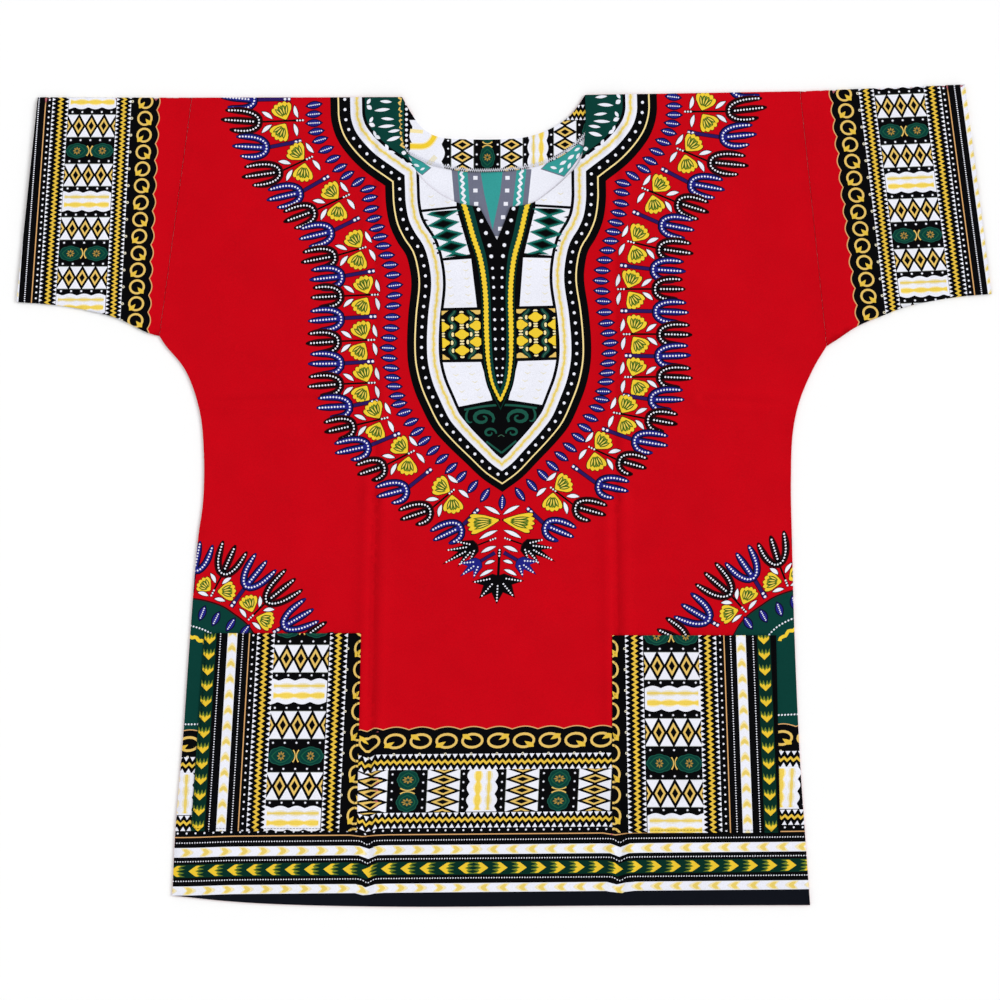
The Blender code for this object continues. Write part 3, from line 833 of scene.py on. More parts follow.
def lattice():
    """The block of yellow blobs on black with knobs round them and two wavy vines, cut at its edges."""
    t = np.linspace(0, 2 * math.pi, 25)[:-1]
    blob = spokes(t) * (6, 4.3) * (1 + 0.13 * np.cos(4 * t))[:, None]
    knob = spokes(t[::3])
    drawing = []
    v = np.linspace(195, 249, 37)
    for side in (-1, 1):
        vine = np.column_stack([34.6 + side * (9 + 2.6 * np.cos(2 * math.pi * (v - 207) / 15)), -v])
        drawing += ribbon("green", vine, 3.4) + ribbon("moss", vine, 1)
    for u, v in LATTICE_BLOBS:
        for du, dv, wide, high in LATTICE_KNOBS:
            small = knob * (wide, high)
            drawing += placed([("black", small * 1.45), ("cream", small)], u + du, -v - dv)
        drawing += placed([("black", blob * 1.16), ("yellow", blob)], u, -v)
    for u, v in LATTICE_CORNERS:
        drawing += placed([("black", blob * 1.3), ("gold", blob * 1.12)], u, -v)
    for edge in LATTICE_EDGES:
        drawing = trimmed(drawing, *edge)
    return drawing


# Blocks between the yoke's bands and its tongue. Columns: v of the outer edge from and to, u and v of the
# inner corners, lower one first.
YOKE_QUADS = (
    (60, 103.9, 37, 101.3, 37, 60),
    (106.4, 149.8, 25.5, 146.8, 37, 103.6),
    (152.2, 196.6, 20, 196.6, 24.4, 151),
    (247.6, 289.4, 7.6, 284, 17.4, 248),
)
# Small black spikes at the two edges of the block of diamonds. Columns: u and v of the tip, length.
YOKE_SPIKES = (
    (62.9, 114, -4.2), (59.2, 124.8, -4.2), (55.6, 135.9, -4.2), (52.4, 145, -4),
    (37.9, 109.5, 5), (34.2, 120.9, 5), (30.3, 132.8, 5), (27.5, 143, 5),
)
YOKE_DIAMONDS = ((49.9, 107.2), (49.6, 117.8), (46.2, 128.6), (42.6, 139.4), (39.2, 150.2))
# Lines at which the first diamond and the last are cut: a point of each, the direction kept in degrees.
DIAMOND_CUTS = {0: (50, -105.6, -93), 4: (40, -148.4, 87)}
# Rows of faint chevrons on the white blocks. Columns: u and v of the first, of the last, how many.
CHEVRON_ROWS = (
    (60.8, 92, 59.8, 100, 2), (44.7, 89.5, 44.9, 97.5, 2), (46.6, 155, 43.4, 192.6, 6),
    (30.2, 154, 27.2, 192.6, 6), (43.4, 252, 33.4, 283, 5), (28.5, 252, 18.6, 281, 5),
)


def yoke_blocks(half):
    """The blocks between the yoke's bands and its tongue, on the right half, from the neck down."""
    rim = yoke_inset(half, YOKE_PANEL)
    drawing = lattice()
    for v0, v1, *inner in YOKE_QUADS:
        run = [(float(np.interp(v, -rim[:, 1], rim[:, 0])), -v) for v in np.linspace(v0, v1, 9)]
        drawing += [("white", np.vstack([run, up(np.reshape(inner, (2, 2)))]))]
    for u, v, length in YOKE_SPIKES:
        drawing += [("black", np.array([(u, -v), (u - length, -v - 1.2), (u - length, -v + 1.2)]))]
    for i, (u, v) in enumerate(YOKE_DIAMONDS):
        shape = spiky_diamond("sea", 16.6, 6.6, 11) + spiky_diamond("bottle", 11.4, 4.3, 8)
        shape += [("black", np.array([(7.4, 0), (0, 2.9), (-7.4, 0), (0, -2.9)]))]
        shape = placed(shape, u, -v, -6)
        drawing += trimmed(shape, *DIAMOND_CUTS[i]) if i in DIAMOND_CUTS else shape
    for u0, v0, u1, v1, count in CHEVRON_ROWS:
        for place in walked(up(((u0, v0), (u1, v1))), 1, count=count):
            drawing += placed(faint_chevron(), *place, -2)
    return drawing


# The heart's scrolls on its right half. Columns: u and v of the middle, the two radii outside and inside,
# turns, angle of the start in degrees, width.
HEART_SCROLLS = (
    (17.2, 300.6, (11.2, 7.8), (2.4, 1.8), 1.3, 212, 3.6),
    (10.6, 314.6, (6.2, 4.6), (1.6, 1.2), 1.1, 190, 2.4),
    (27.4, 300.2, (6, 8.4), (3, 3.6), 0.45, 62, 2.2),
)
HEART_TOP = ((2, 288.6), (16, 289.6), (34, 292.4))
HEART_POINT = ((0, 333.6), (14, 322.6))
HEART_BRIDGE = ((-3, 318.2), (0, 316.5), (3, 318.2))


def yoke_heart():
    """The heart at the yoke's tip: scrolls on black, a line under its top edge and one along its point."""
    side = ribbon("fern", curve_through(up(HEART_TOP), 3), 2)
    for u, v, *rest in HEART_SCROLLS:
        side += trimmed(scroll("fern", u, -v, *rest), 0, 0, 0)
    side += ribbon("fern", up(HEART_POINT), 1.8)
    return mirrored(side) + ribbon("moss", up(HEART_BRIDGE), 0.7)


# Beads of the tongue's two rows. Columns: u, v.
TONGUE_BEADS = (
    (16.4, 105), (13.9, 115.9), (10, 127.2), (7, 138.9), (5.5, 149.2), (4.6, 160.4), (4.1, 169.3),
    (3.9, 178.2), (3.8, 188.6), (3.7, 199), (3.6, 208.7), (3.6, 217.4), (3.5, 227), (3.4, 236),
    (3.2, 245.5), (2.8, 254), (2, 261), (1.2, 267.3),
)
# Right half of the tongue's edge. Columns: u, v.
TONGUE_EDGE = (
    (41, 62), (34.5, 86), (28.4, 105.3), (22.2, 129.8), (16.2, 149.6), (12.8, 171.2), (11.5, 191.9),
    (11.6, 210.6), (11.3, 230.3), (10.4, 249.1), (7, 268.8), (0, 284.5),
)


def tongue():
    """The pointed tongue below the neck slit: black with two rows of beads, in a toothed yellow line."""
    half = curve_through(up(TONGUE_EDGE), 4.5)
    fine = walked(half, 1.9, 0)
    teeth = np.where(np.arange(len(fine)) % 2, 1, 0)
    stroke = (1.6 + teeth) * (1 - 0.4 * smooth((-fine[:, 1] - 215) / 60))
    lines = (
        ("black", half, -5.4), ("bottle", half, -3.9), ("black", half, -3), ("yellow", fine, -stroke),
        ("green", fine, stroke), ("black", half, 4.4 + 2.6 * smooth((200 + half[:, 1]) / 90)),
    )
    drawing = [(ink, across(inset_half(run, distance))) for ink, run, distance in lines]
    side = []
    for u, v in TONGUE_BEADS:
        side += bead(u, -v, 1.9 if v < 150 else 1.45 if v < 245 else 1.1)
    return drawing + mirrored(side)


def yoke():
    """The yoke: nested bands, beads, a wavy stripe, green shoulders, blocks, heart and tongue."""
    shoulder = curve_through(up(YOKE_SHOULDER), 5)
    side = curve_through(up(YOKE_SIDE), 5)
    half = np.vstack([shoulder, side[1:]])
    drawing = [(ink, across(yoke_inset(half, inset))) for ink, inset in YOKE_BANDS]
    run = yoke_inset(half, YOKE_STRIPE)
    last = run[-1] - run[-2]
    run = np.vstack([run, run[-1] + 8 * last / np.linalg.norm(last)])
    fine = wave(walked(run, 1.3, 0), 0.3, 13)
    swell = 2 + 0.6 * np.sin(lengths_of(fine) * 2 * math.pi / 5.2)
    stripe = ribbon("pearl", walked(run, 5, 0), 7.2) + ribbon("faint", fine, swell + 2.4)
    drawing += mirrored(trimmed(stripe + ribbon("straw", fine, swell), 0, 0, 0))
    beads = across(yoke_inset(half, YOKE_BEADS))
    drawing += discs("white", walked(beads, YOKE_BEAD_PITCH, 0.35), 1.5, 7)
    inner = offset(half, -YOKE_PANEL)[: len(shoulder)]
    green = [("green", np.vstack([inner, [(60, -62), (50, -40), (50, 14)]]))]
    for u, v, length, width, turn in SHOULDER_LEAVES:
        green += placed(lens("white", length, width), u, -v, turn)
    green += discs("white", walked(straight(*SHOULDER_BEADS), 4.4), 1.3)
    crown = ribbon("gold", wave(walked(straight(*CROWN), 1.2, 0), 1.9, 5.6), 1.9)
    return drawing + mirrored(green + yoke_blocks(half)) + crown + yoke_heart() + tongue()


def ring():
    """Seeds, claws, flowers and petals round the yoke, in the print's frame."""
    drawing = []
    for u, v, lean in curve_through(up(SEED_CURVE), SEED_PITCH):
        drawing += placed(oval_seed(), u, v, lean)
    for i, places in enumerate(RING):
        places = up(np.reshape(places, (3, 2)))
        skew = 0.12 + 0.2 * smooth((-places[0, 1] - 150) / 180)
        drawing += sprig(("blue", "black")[i % 2], places, skew=skew)
    return mirrored(drawing)


# The pendant's axis leans: its u at this v, and how u changes for each mm down.
PENDANT_AXIS = (-0.4, 379, -0.077)
# White petals of its right half. Columns: u from the axis, v, length, width, turn in degrees.
PENDANT_PETALS = (
    (9, 387.3, 16.9, 3.6, -28), (11.3, 409.9, 18.3, 3.6, 25), (10.3, 423.8, 14.8, 3.6, 28),
    (8.5, 436, 9.6, 3, 33), (11.2, 445.8, 13.6, 3.2, 24),
)
# Spiked leaves of its right half. Columns: ink, rim, foot, length of each spike, angles of the first and the
# last in degrees.
PENDANT_LEAVES = (
    ("black", "wine", (22.1, -419.9), (19, 28, 34, 25, 15.5), 13, -70),
    ("blue", "navy", (17.6, -434.7), (19.2, 22, 16.4), -4, -70),
)
# The spiked leaf on the axis: lengths and angles as above.
STAR_LEAF = ((23.4, 24.4, 23.8, 24.4, 23.4), -10, -170)
STAR_FOOT = (0, -450)
NOTCH = 0.62
# A spiked leaf's edge from its first spike back to its foot, and from its foot to its last spike. Columns:
# along the spike, to its left.
LEAF_HEEL = ((4.5, 3.6), (0.4, 1.4), (-0.8, -0.6))
LEAF_SOLE = ((0.4, -1.4), (4.5, -3.6))


def spiked_leaf(ink, rim, lengths, first, last):
    """A leaf whose foot is the origin, with a spike for each length, turned evenly from the first angle to
    the last. Between two spikes it goes back to the share NOTCH of the shorter one. Each spike has beads."""
    angles = np.radians(np.linspace(first, last, len(lengths)))
    lengths = np.array(lengths)
    tips = spokes(angles, lengths)
    outline = np.empty((2 * len(tips) - 1, 2))
    outline[::2] = tips
    outline[1::2] = spokes((angles[1:] + angles[:-1]) / 2, np.minimum(lengths[1:], lengths[:-1]) * NOTCH)
    heel = turned(np.array(LEAF_HEEL), first)
    sole = turned(np.array(LEAF_SOLE), last)
    shape = np.vstack([outline, sole[::-1], heel[::-1]])
    drawing = [(rim, grown(shape, shape.mean(axis=0), 1.08)), (ink, shape)]
    for tip in tips:
        drawing += discs("white", walked(straight(tip * 0.34, tip * 0.93, 2), 2.75, 0), 0.85)
    return drawing


def pendant():
    """The leaves below the yoke's tip, in the print's frame."""
    side = placed(fan_flower(29.5, 17.4), 2.3, -396.4, -8)
    for u, v, length, width, turn in PENDANT_PETALS:
        side += placed(petal(length, width), u, -v, -turn if v < 400 else turn - 50)
    side += sprig_stem((22.1, -419.9), (3.6, -413.1), 1.5, "black", None, 3, 0.85, 2.2)
    side += sprig_stem((17.6, -434.7), (4.1, -426.9), 2.4, "violet", "wine", 0, 1, 3.4)
    for ink, rim, foot, *spikes in PENDANT_LEAVES:
        side += placed(spiked_leaf(ink, rim, *spikes), *foot)
    drawing = mirrored(side) + placed(oval_seed(), 0, -380, 90, size=0.95)
    drawing += placed(spiked_leaf("black", "wine", *STAR_LEAF), *STAR_FOOT)
    drawing += sprig_stem((0, -452), (0, -423.4), 2.5, "black", None, 3, 0.95, 4.2)
    axis, start, lean = PENDANT_AXIS
    return mapped(drawing, lambda p: p + np.column_stack([axis + lean * (-p[:, 1] - start), 0 * p[:, 1]]))


def corner_fan():
    """Claws, flowers and a green field with seeds at the print's lower left corner, with u to the left."""
    drawing = []
    for i, places in enumerate(CORNER_FAN):
        places = up(np.reshape(places, (3, 2)))
        drawing += sprig(("blue", "black")[i % 2], places, 12.2, CLAW_OPEN, flowers=False)
    for row in CORNER_FLOWERS:
        stalk, rim = up(np.reshape(row, (2, 2)))
        flower = fan_flower(math.dist(stalk, rim) + 0.8, 19.5)
        drawing += placed(flower, *stalk, heading(stalk, rim))
    for u, v, turn in CORNER_PETALS:
        drawing += placed(petal(10.4, 3.5), u, -v, turn)
    arc = curve_through(up(CORNER_ARC), 5)
    drawing += [("wine", np.vstack([arc + (-0.8, 1.3), [(212, -600), (340, -600), (340, -460)]]))]
    drawing += [("green", np.vstack([arc, [(215, -600), (340, -600), (340, -462)]]))]
    for u, v, turn in CORNER_SEEDS:
        drawing += placed(oval_seed(), u, -v, turn, 0.98)
    for row in (curve_through(up(CORNER_BEADS), 3), up(CORNER_LOW_BEADS)):
        drawing += discs("white", walked(row, 2.9), SMALL_BEAD)
    return drawing + ribbon("yellow", wave(curve_through(up(CORNER_ZIGZAG), 2), 1, 8), 3.4)


def corner_fans():
    """The left corner's fan mirrored to its side, and the right corner's."""
    fan = corner_fan()
    right = np.array(CORNER_RIGHT) * ((1, -1), (-1, 1))
    middle = np.array(CORNER_MIDDLE) * (1, -1)
    move = middle + np.array(CORNER_RIGHT_MOVE) * (1, -1)
    return mapped(fan, lambda p: p * (-1, 1)) + mapped(fan, lambda p: (p - middle) @ right.T + move)


# ==== the border strip
# The three strips. Columns: how far they are drawn out along, height of the teeth, reach of the zigzags,
# stroke of the rings, and the panel of blocks from and to, across.
STRIPS = {
    "sleeve": (1, 3, 1.5, 2, 39.6, 83.9),
    "pocket": (1.24, 3.5, 1.7, 2.1, 40.7, 92.1),
    "hem": (1.53, 4, 1.42, 2.4, 39, 78.5),
}
RING_PITCH = 15.8
TOOTH_PITCH = 3.92
# Bands across the strips. Columns: kind, place in the sleeves' strip, the pockets', the hem's, size, pitch,
# and where the first shape stands as a share of the pitch.
STRIP_BANDS = (
    ("rings", 12.1, 9.9, 12, 0, RING_PITCH, 0.5),
    ("eyes", 24.4, 22.9, 24.3, 1.35, RING_PITCH, 0.5),
    ("teeth", 27, 25.1, 26.3, 1, TOOTH_PITCH, 0.5),
    ("zigzag", 32.2, 32, 31.8, 0, TOOTH_PITCH, 0),
    ("teeth", 37.6, 38.2, 36.9, -1, TOOTH_PITCH, 0),
    ("teeth", 85.7, 93.6, 81.2, 1, TOOTH_PITCH, 0.5),
    ("zigzag", 91.4, 100.1, 86, 0, TOOTH_PITCH, 0),
    ("teeth", 97.7, 106.5, 91.4, -1, TOOTH_PITCH, 0),
    ("beads", 102, 111.9, 95.8, 1, 5.47, 0.5),
    ("line", 105.7, 115.6, 99.6, 1, 0, 0),
    ("dots", 112, 121.7, 104.8, 0.75, 1.94, 0.5),
    ("arrows", 121.9, 131.4, 113.9, 9, 11.8, 0),
    ("dots", 132.3, 142.65, 122.3, 0.75, 1.94, 0.5),
    ("tulips", 142, 152.6, 131.3, 1, 11.8, 0.34),
)
# Bands that only the hem's strip has. Columns as above, with one place.
HEM_BANDS = (("dots", 140.6, 0.75, 1.94, 0.5), ("arrows", 149.7, 8.5, 11.8, 0.685))
HEM_TOP = -217.6
HEM_MIDDLE = -24  # where the bands' arrows and tulips turn round, at this height across the strip
HEM_MIDDLE_AT = 80
HEM_LEAN = -0.095  # how far the bands' middle moves for each mm across, and the blocks'
HEM_BLOCK_LEAN = -0.05
HEM_LADDER = (-35, 1.475)  # where a repeat starts, and how far it is stretched
HEM_ENDS = (-340, 320)
HEM_PLAIN = 154.2  # where the plain hem begins, across the strip
STRIP_EDGE = 2.5  # where the strips' black ground begins


def band(strip, kind, x0, x1, y, size, pitch, first):
    """One band of a strip between x0 and x1."""
    stretch, tooth, reach, stroke, _, _ = STRIPS[strip]
    pitch = pitch * stretch
    if kind == "rings":
        return ring_band(x0, x1, y, stroke, pitch)
    if kind == "eyes":
        eyes = dot_band(x0, x1, y, size, pitch, ink="faint", sides=7)
        return eyes + dot_band(x0, x1, y, 0.6, pitch, ink="black")
    if kind == "beads":
        return dot_band(x0, x1, y, size, pitch, sides=6)
    if kind == "dots":
        return dot_band(x0, x1, y, size, 1.94 * min(stretch, 1.24), sides=4)
    if kind == "teeth":
        return tooth_band(x0, x1, y, size * tooth, pitch)
    if kind == "zigzag":
        return zigzag_band(x0, x1, y, reach, reach * 2.05, pitch)
    if kind == "line":
        return ribbon("tan", straight((x0, y), (x1, y), 12), size)
    if kind == "arrows":
        return arrow_band(x0, x1, y, size, pitch, first)
    return tulip_band(x0, x1, y, pitch / (14 if strip == "pocket" else 12.4), pitch, first)


def finer(drawing, step=9):
    """The drawing with points added along every edge that is much longer than the step."""
    made = []
    for ink, outline in drawing:
        ends = np.roll(outline, -1, axis=0)
        long = np.linalg.norm(ends - outline, axis=1) > step * 1.5
        if long.any():
            runs = [straight(a, b, step)[:-1] if far else a[None] for a, b, far in zip(outline, ends, long)]
            outline = np.vstack(runs)
        made.append((ink, outline))
    return made


def leaned(drawing, lean, level):
    """The drawing sheared along the strip by lean for each mm across, from this level."""
    return mapped(drawing, lambda p: p + np.column_stack([lean * (p[:, 1] - level), 0 * p[:, 1]]))


def hem_place(points):
    """From the strip's frame to the cloth: across the strip is down. The strip runs a little lower towards
    the left side, and dips where the fold lines cross it."""
    x = points[:, 0]
    drop = -0.0085 * (x + 15) + smooth((-250 - x) / 50)
    for crease in (-128, 108.5):
        drop = drop + 3.8 * np.exp(-(((x - crease) / 4.6) ** 2))
    return np.column_stack([x, HEM_TOP - points[:, 1] - drop])


def turned_round(points):
    """The points in the hem's strip mirrored across its middle."""
    return np.column_stack([2 * HEM_MIDDLE - points[:, 0], points[:, 1]])


def hem_strip():
    """The strip above the hem on a black ground, turned round about its middle, and the plain hem below."""
    low, high = HEM_ENDS
    stretch, _, _, _, *panel = STRIPS["hem"]
    edge = scallop_edge(HEM_MIDDLE, high, RING_PITCH * stretch, 170)
    rows = [(kind, y, *rest) for kind, _, _, y, *rest in STRIP_BANDS] + list(HEM_BANDS)
    bands = []
    middle = []
    for kind, y, size, pitch, first in rows:
        bands += band("hem", kind, HEM_MIDDLE, high, y, size, pitch, first)
        if kind == "teeth" and size < 0:
            before = HEM_MIDDLE - pitch * stretch
            middle += band("hem", kind, before, HEM_MIDDLE + 0.1, y, size, pitch, first)
    start, drawn = HEM_LADDER
    ladder = ladder_band(low, high, *panel, drawn, start, flip=True)
    drawing = leaned(edge + mapped(edge, turned_round), HEM_LEAN, HEM_MIDDLE_AT)
    drawing += leaned(ladder, HEM_BLOCK_LEAN, sum(panel) / 2)
    drawing += box("black", low, STRIP_EDGE, high, panel[0]) + box("black", low, panel[1], high, 98)
    drawing += leaned(bands + mapped(bands, turned_round) + middle, HEM_LEAN, HEM_MIDDLE_AT)
    return mapped(finer(drawing + box("night", low, HEM_PLAIN, high, 190)), hem_place)


def side_strip(strip, start, end, phase, stretch):
    """A strip that runs from start to end, with its ladder of blocks from phase on."""
    drawn, _, _, _, *panel = STRIPS[strip]
    drawing = scallop_edge(start, end, RING_PITCH * drawn, panel[1] + 75)
    drawing += ladder_band(start, end, *panel, stretch, phase)
    drawing += box("black", start, STRIP_EDGE, end, panel[0])
    drawing += box("black", start, panel[1], end, panel[1] + 18)
    for kind, sleeve_y, pocket_y, _, *rest in STRIP_BANDS:
        drawing += band(strip, kind, start, end, sleeve_y if strip == "sleeve" else pocket_y, *rest)
    return drawing


# The pockets' strips. Columns: x of the edge at the pocket's top, x moved for each mm down, how much wider
# than drawn, how much wider for each mm down, and where a repeat of the blocks starts.
POCKET_STRIPS = {
    -1: (-122.7, -0.0425, 1, 0.000137, 42.3),
    1: (89.8, 0.0143, 1.004, 0.00017, 49.2),
}
POCKET_TOP = -129
POCKET_STRETCH = 1.241


def pocket_print(side):
    """A pocket's strip: along the strip is down, across it is away from the middle."""
    x0, lean, wide, widen, phase = POCKET_STRIPS[side]

    def place(points):
        along = points[:, 0]
        away = points[:, 1] * (wide + widen * along)
        return np.column_stack([x0 + lean * along + side * away, POCKET_TOP - along])

    drawing = side_strip("pocket", -15, 210, phase - LADDER_REPEAT * POCKET_STRETCH, POCKET_STRETCH)
    return box("red", -500, -400, 500, -60) + mapped(finer(drawing), place)


# The sleeves' strips. Columns: x and y of the edge at the top fold, x moved for each mm down, y for each mm
# out, how much wider than drawn, how much wider for each mm down, where a repeat starts, its stretch.
SLEEVE_STRIPS = {
    -1: (-323.5, 373.5, -0.044, 0, 1, 0.00026, 88.8, 1),
    1: (305.6, 380, 0.119, 0.042, 1.038, 0.00012, 80, 1.015),
}


def sleeve_print(side):
    """A sleeve's strip, along its opening. On the hidden side of the top fold it mirrors itself."""
    x0, y0, lean, climb, wide, widen, phase, stretch = SLEEVE_STRIPS[side]

    def place(points):
        along = points[:, 0]
        away = points[:, 1] * (wide + widen * np.abs(along))
        return np.column_stack([x0 + lean * np.abs(along) + side * away, y0 + climb * away - along])

    drawing = side_strip("sleeve", -240, 240, phase, stretch)
    return box("red", -600, -100, 600, 800) + mapped(finer(drawing), place)


FACING_WALL = ((-95, 296), (-95, 364))  # ends of the gold zigzag beside the green field
FACING_BEND = ((-62, 352), (-63.5, 341), (-69, 331), (-74, 327.8), (-88, 327.4))  # the stripe that turns


def facing_print():
    """The strip's ladder laid across the facing, with a green field at its left end."""
    drawing = box("black", -130, 280, 110, 390)
    drawing += ladder_band(-52, 100, 306.5, 351.5, 1, -74.2)
    drawing += box("black", -130, 351.5, 110, 390)
    for kind, y, size in (("teeth", 353.6, 1), ("zigzag", 358.8, 0), ("teeth", 364.6, -1)):
        drawing += band("sleeve", kind, -130, 110, y, size, TOOTH_PITCH, 0.5)
    drawing += box("green", -130, 280, -90, 390) + box("black", -93.8, 280, -89, 390)
    drawing += discs("white", straight((-91.4, 284), (-91.4, 372), 5), 1.5)
    path = walked(straight(*FACING_WALL), 2, 0)
    path[:, 0] += 1.5 * (-1) ** np.arange(len(path)) - 3
    drawing += ribbon("gold", path, 2.6)
    drawing += box("black", -89, 280, -55.5, 390) + scallop_block(-88.6, -55.5, 297, 352)[:1]
    bent = curve_through(FACING_BEND, 2.5)
    drawing += ribbon("cream", bent, 6.6) + ribbon("yellow", bent, 4.2)
    drawing += ribbon("cream", [(-88, 342), (-76, 341)], 3.4)
    drawing += ribbon("faint", [(-64, 318), (-75, 306)], 4.6)
    return drawing + discs("white", straight((-52.4, 310), (-52.4, 348), 7.6), 0.95)


# Stripes of the back's inner side in the neck. Columns: ink, x of the two sides at the top, at the foot.
INNER_TOP = 306
INNER_FOOT = 240
INNER_STRIPES = (
    ("slate", -49.2, -43.6, -43.5, -38.5), ("teal", -43.6, -34.4, -38.5, -30),
    ("slate", -34.4, 12, -30, 4.5), ("teal", 12, 21, 4.5, 14), ("slate", 21, 25.8, 14, 19),
)
INNER_WEDGE = ((-22.4, 306), (-1, 306), (-3.6, 283), (-10.7, 249), (-18.6, 283))
# Square white dots on the stripes. Columns: x, y.
INNER_DOTS = (
    (-26.8, 297.9), (-26.8, 286), (-26.1, 273.5), (-25, 261), (3.3, 297.9), (3, 286), (1.7, 273.5),
    (-0.8, 261), (-3.5, 250.2), (-6.6, 241.3),
)
INNER_ZIGZAGS = ((-39.9, -35), (16.7, 9.6))  # x of each at the top and at the foot
# Outlines of the pale fields beside the stripes.
INNER_FIELDS = (
    ((35.8, 306.6), (56.4, 299.8), (64, 309), (76, 326), (66, 331), (48, 319)),
    ((-96, 323), (-87.8, 309), (-76.9, 301), (-69, 307.5), (-80, 315)),
)
# Petals on the fields. Columns: x, y, length, turn in degrees.
INNER_PETALS = (
    (46.5, 307.4, 6.5, -14), (53.6, 305, 6.5, 50), (55.4, 312, 7.5, 30), (61.2, 309.2, 6.5, 64),
    (62.8, 317.4, 7.5, 34), (69.4, 318.4, 6.5, 60), (68.6, 324.6, 6, 30), (-88.5, 315.6, 6, -40),
    (-82, 309.6, 6, -20), (-76.4, 306.2, 5, 24),
)


def inner_back_print():
    """What shows of the back's inner side in the neck: the same print through the cloth, pale."""
    drawing = box("reverse", -420, -460, 420, 460) + box("white", -122, 200, 92, 356)
    for ink, a, b, c, d in INNER_STRIPES:
        drawing += [(ink, np.array([(a, INNER_TOP), (b, INNER_TOP), (d, INNER_FOOT), (c, INNER_FOOT)]))]
    drawing += [("teal", np.array(INNER_WEDGE, float))]
    for x, y in INNER_DOTS:
        drawing += box("white", x - 2, y - 1.8, x + 2, y + 1.8)
    for x0, x1 in INNER_ZIGZAGS:
        zigzag = wave(walked(straight((x0, INNER_TOP), (x1, INNER_FOOT)), 1.5, 0), 1.3, 6)
        drawing += ribbon("white", zigzag, 2.4)
    for rows in INNER_FIELDS:
        outline = np.array(rows, float)
        drawing += [("slate", grown(outline, outline.mean(axis=0), 1.07)), ("teal", outline)]
    for x, y, length, turn in INNER_PETALS:
        drawing += placed(lens("white", length, length * 0.42), x, y, turn)
    return drawing


def body_print():
    """The whole print of a body panel, from the red ground to the hem's strip."""
    drawing = corner_fans() + ring() + pendant() + yoke()
    return box("red", -500, -500, 500, 500) + mapped(drawing, print_place) + hem_strip()


# ==== outlines of the pieces
def body_loop(neck):
    """The body panel's outline, against the clock from the left armhole seam's top."""
    return joined(
        straight(ARMHOLE_TOP_LEFT, SIDE_LEFT[0], 6),
        curve_through(SIDE_LEFT, 6),
        curve_through(HEM, 8),
        curve_through(SIDE_RIGHT, 6)[::-1],
        straight(SIDE_RIGHT[0], ARMHOLE_TOP_RIGHT, 6),
        straight(ARMHOLE_TOP_RIGHT, NECK_RIGHT, 8),
        neck[::-1],
        straight(NECK_LEFT, ARMHOLE_TOP_LEFT, 8),
    )


def front_neck():
    """The front's neck edge from left to right, down and up the slit."""
    left = curve_through(FRONT_NECK_LEFT, 4)
    right = curve_through(FRONT_NECK_RIGHT, 4)
    down = straight(FRONT_NECK_LEFT[-1], SLIT_FOOT, 5)
    rise = straight(SLIT_FOOT, FRONT_NECK_RIGHT[0], 5)
    return np.vstack([left, down[1:], rise[1:], right[1:]])


def facing_loop():
    """The facing: the back's neck edge, an end at each shoulder seam, and the overlocked edge."""
    neck = curve_through(BACK_NECK, 4)
    loop = joined(
        neck,
        straight(neck[-1], FACING_END_RIGHT, 6),
        straight(FACING_END_RIGHT, FACING_EDGE[0], 6),
        curve_through(FACING_EDGE, 5),
        straight(FACING_EDGE[-1], FACING_END_LEFT, 6),
        straight(FACING_END_LEFT, neck[0], 6),
    )
    return loop[::-1]


def pocket_loop(corners):
    return joined(*(straight(a, b, 6) for a, b in zip(corners, corners[1:] + corners[:1])))


# ==== heights of the cloth
def swell_height(points, rows):
    """Sum of the swells: each row is a bell that is long one way and narrow the other."""
    height = np.zeros(len(points))
    for x, y, length, width, turn, rise in rows:
        local = turned(points - (x, y), -turn) / (length, width)
        height += rise * np.exp(-2 * (local**2).sum(axis=1))
    return height


def crease_height(points):
    """Each crease is a narrow trough between two low rises, and fades over its last few millimetres."""
    height = np.zeros(len(points))
    for x0, y0, x1, y1, depth, rise, width in CREASES:
        away = distance_to(points, np.array([(x0, y0), (x1, y1)], float))
        height += rise * np.exp(-(((away - 2.2 * width) / (1.6 * width)) ** 2))
        height -= depth * np.exp(-((away / width) ** 2))
    return height


def edge_drop(points, run):
    """How far a turned edge rolls down: the whole drop on the run, none beyond the roll's width."""
    return EDGE_DROP * (1 - smooth(distance_to(points, run) / EDGE_ROLL))


def front_under(points):
    """The bed, and on it the swells and creases, faded at the seams, and the lift over the facing."""
    facing = facing_loop()
    fade = smooth(distance_to(points, closed_run(body_loop(front_neck()))) / SEAM_FADE)
    form = 0.5 + swell_height(points, SWELLS) + crease_height(points)
    beyond = np.where(inside(points, facing), 0, distance_to(points, closed_run(facing)))
    lift = smooth((FACING_LIFT_END - beyond) / (FACING_LIFT_END - FACING_LIFT_FULL))
    return BED + fade * np.maximum(form, 0) + FACING_RISE * lift


# ==== sheets of cloth
def signed_area(outline):
    """Area inside the outline, which is above zero where it runs against the clock."""
    x, y = outline.T
    return (x * np.roll(y, -1) - np.roll(x, -1) * y).sum() / 2


def against_clock(outline):
    return outline[::-1] if signed_area(outline) < 0 else outline


def clear_of(points, loop, clear):
    """The points that lie inside the loop, and more than clear away from it."""
    points = points[inside(points, loop)]
    return points[distance_to(points, closed_run(loop)) > clear]


def grid_points(loop, step, clear):
    """A staggered grid inside the loop, at least clear away from it."""
    low = loop.min(axis=0)
    high = loop.max(axis=0)
    x, y = np.meshgrid(np.arange(low[0], high[0], step), np.arange(low[1], high[1], step * 0.87))
    x = x + (np.arange(len(x)) % 2)[:, None] * step / 2
    return clear_of(np.column_stack([x.ravel(), y.ravel()]), loop, clear)


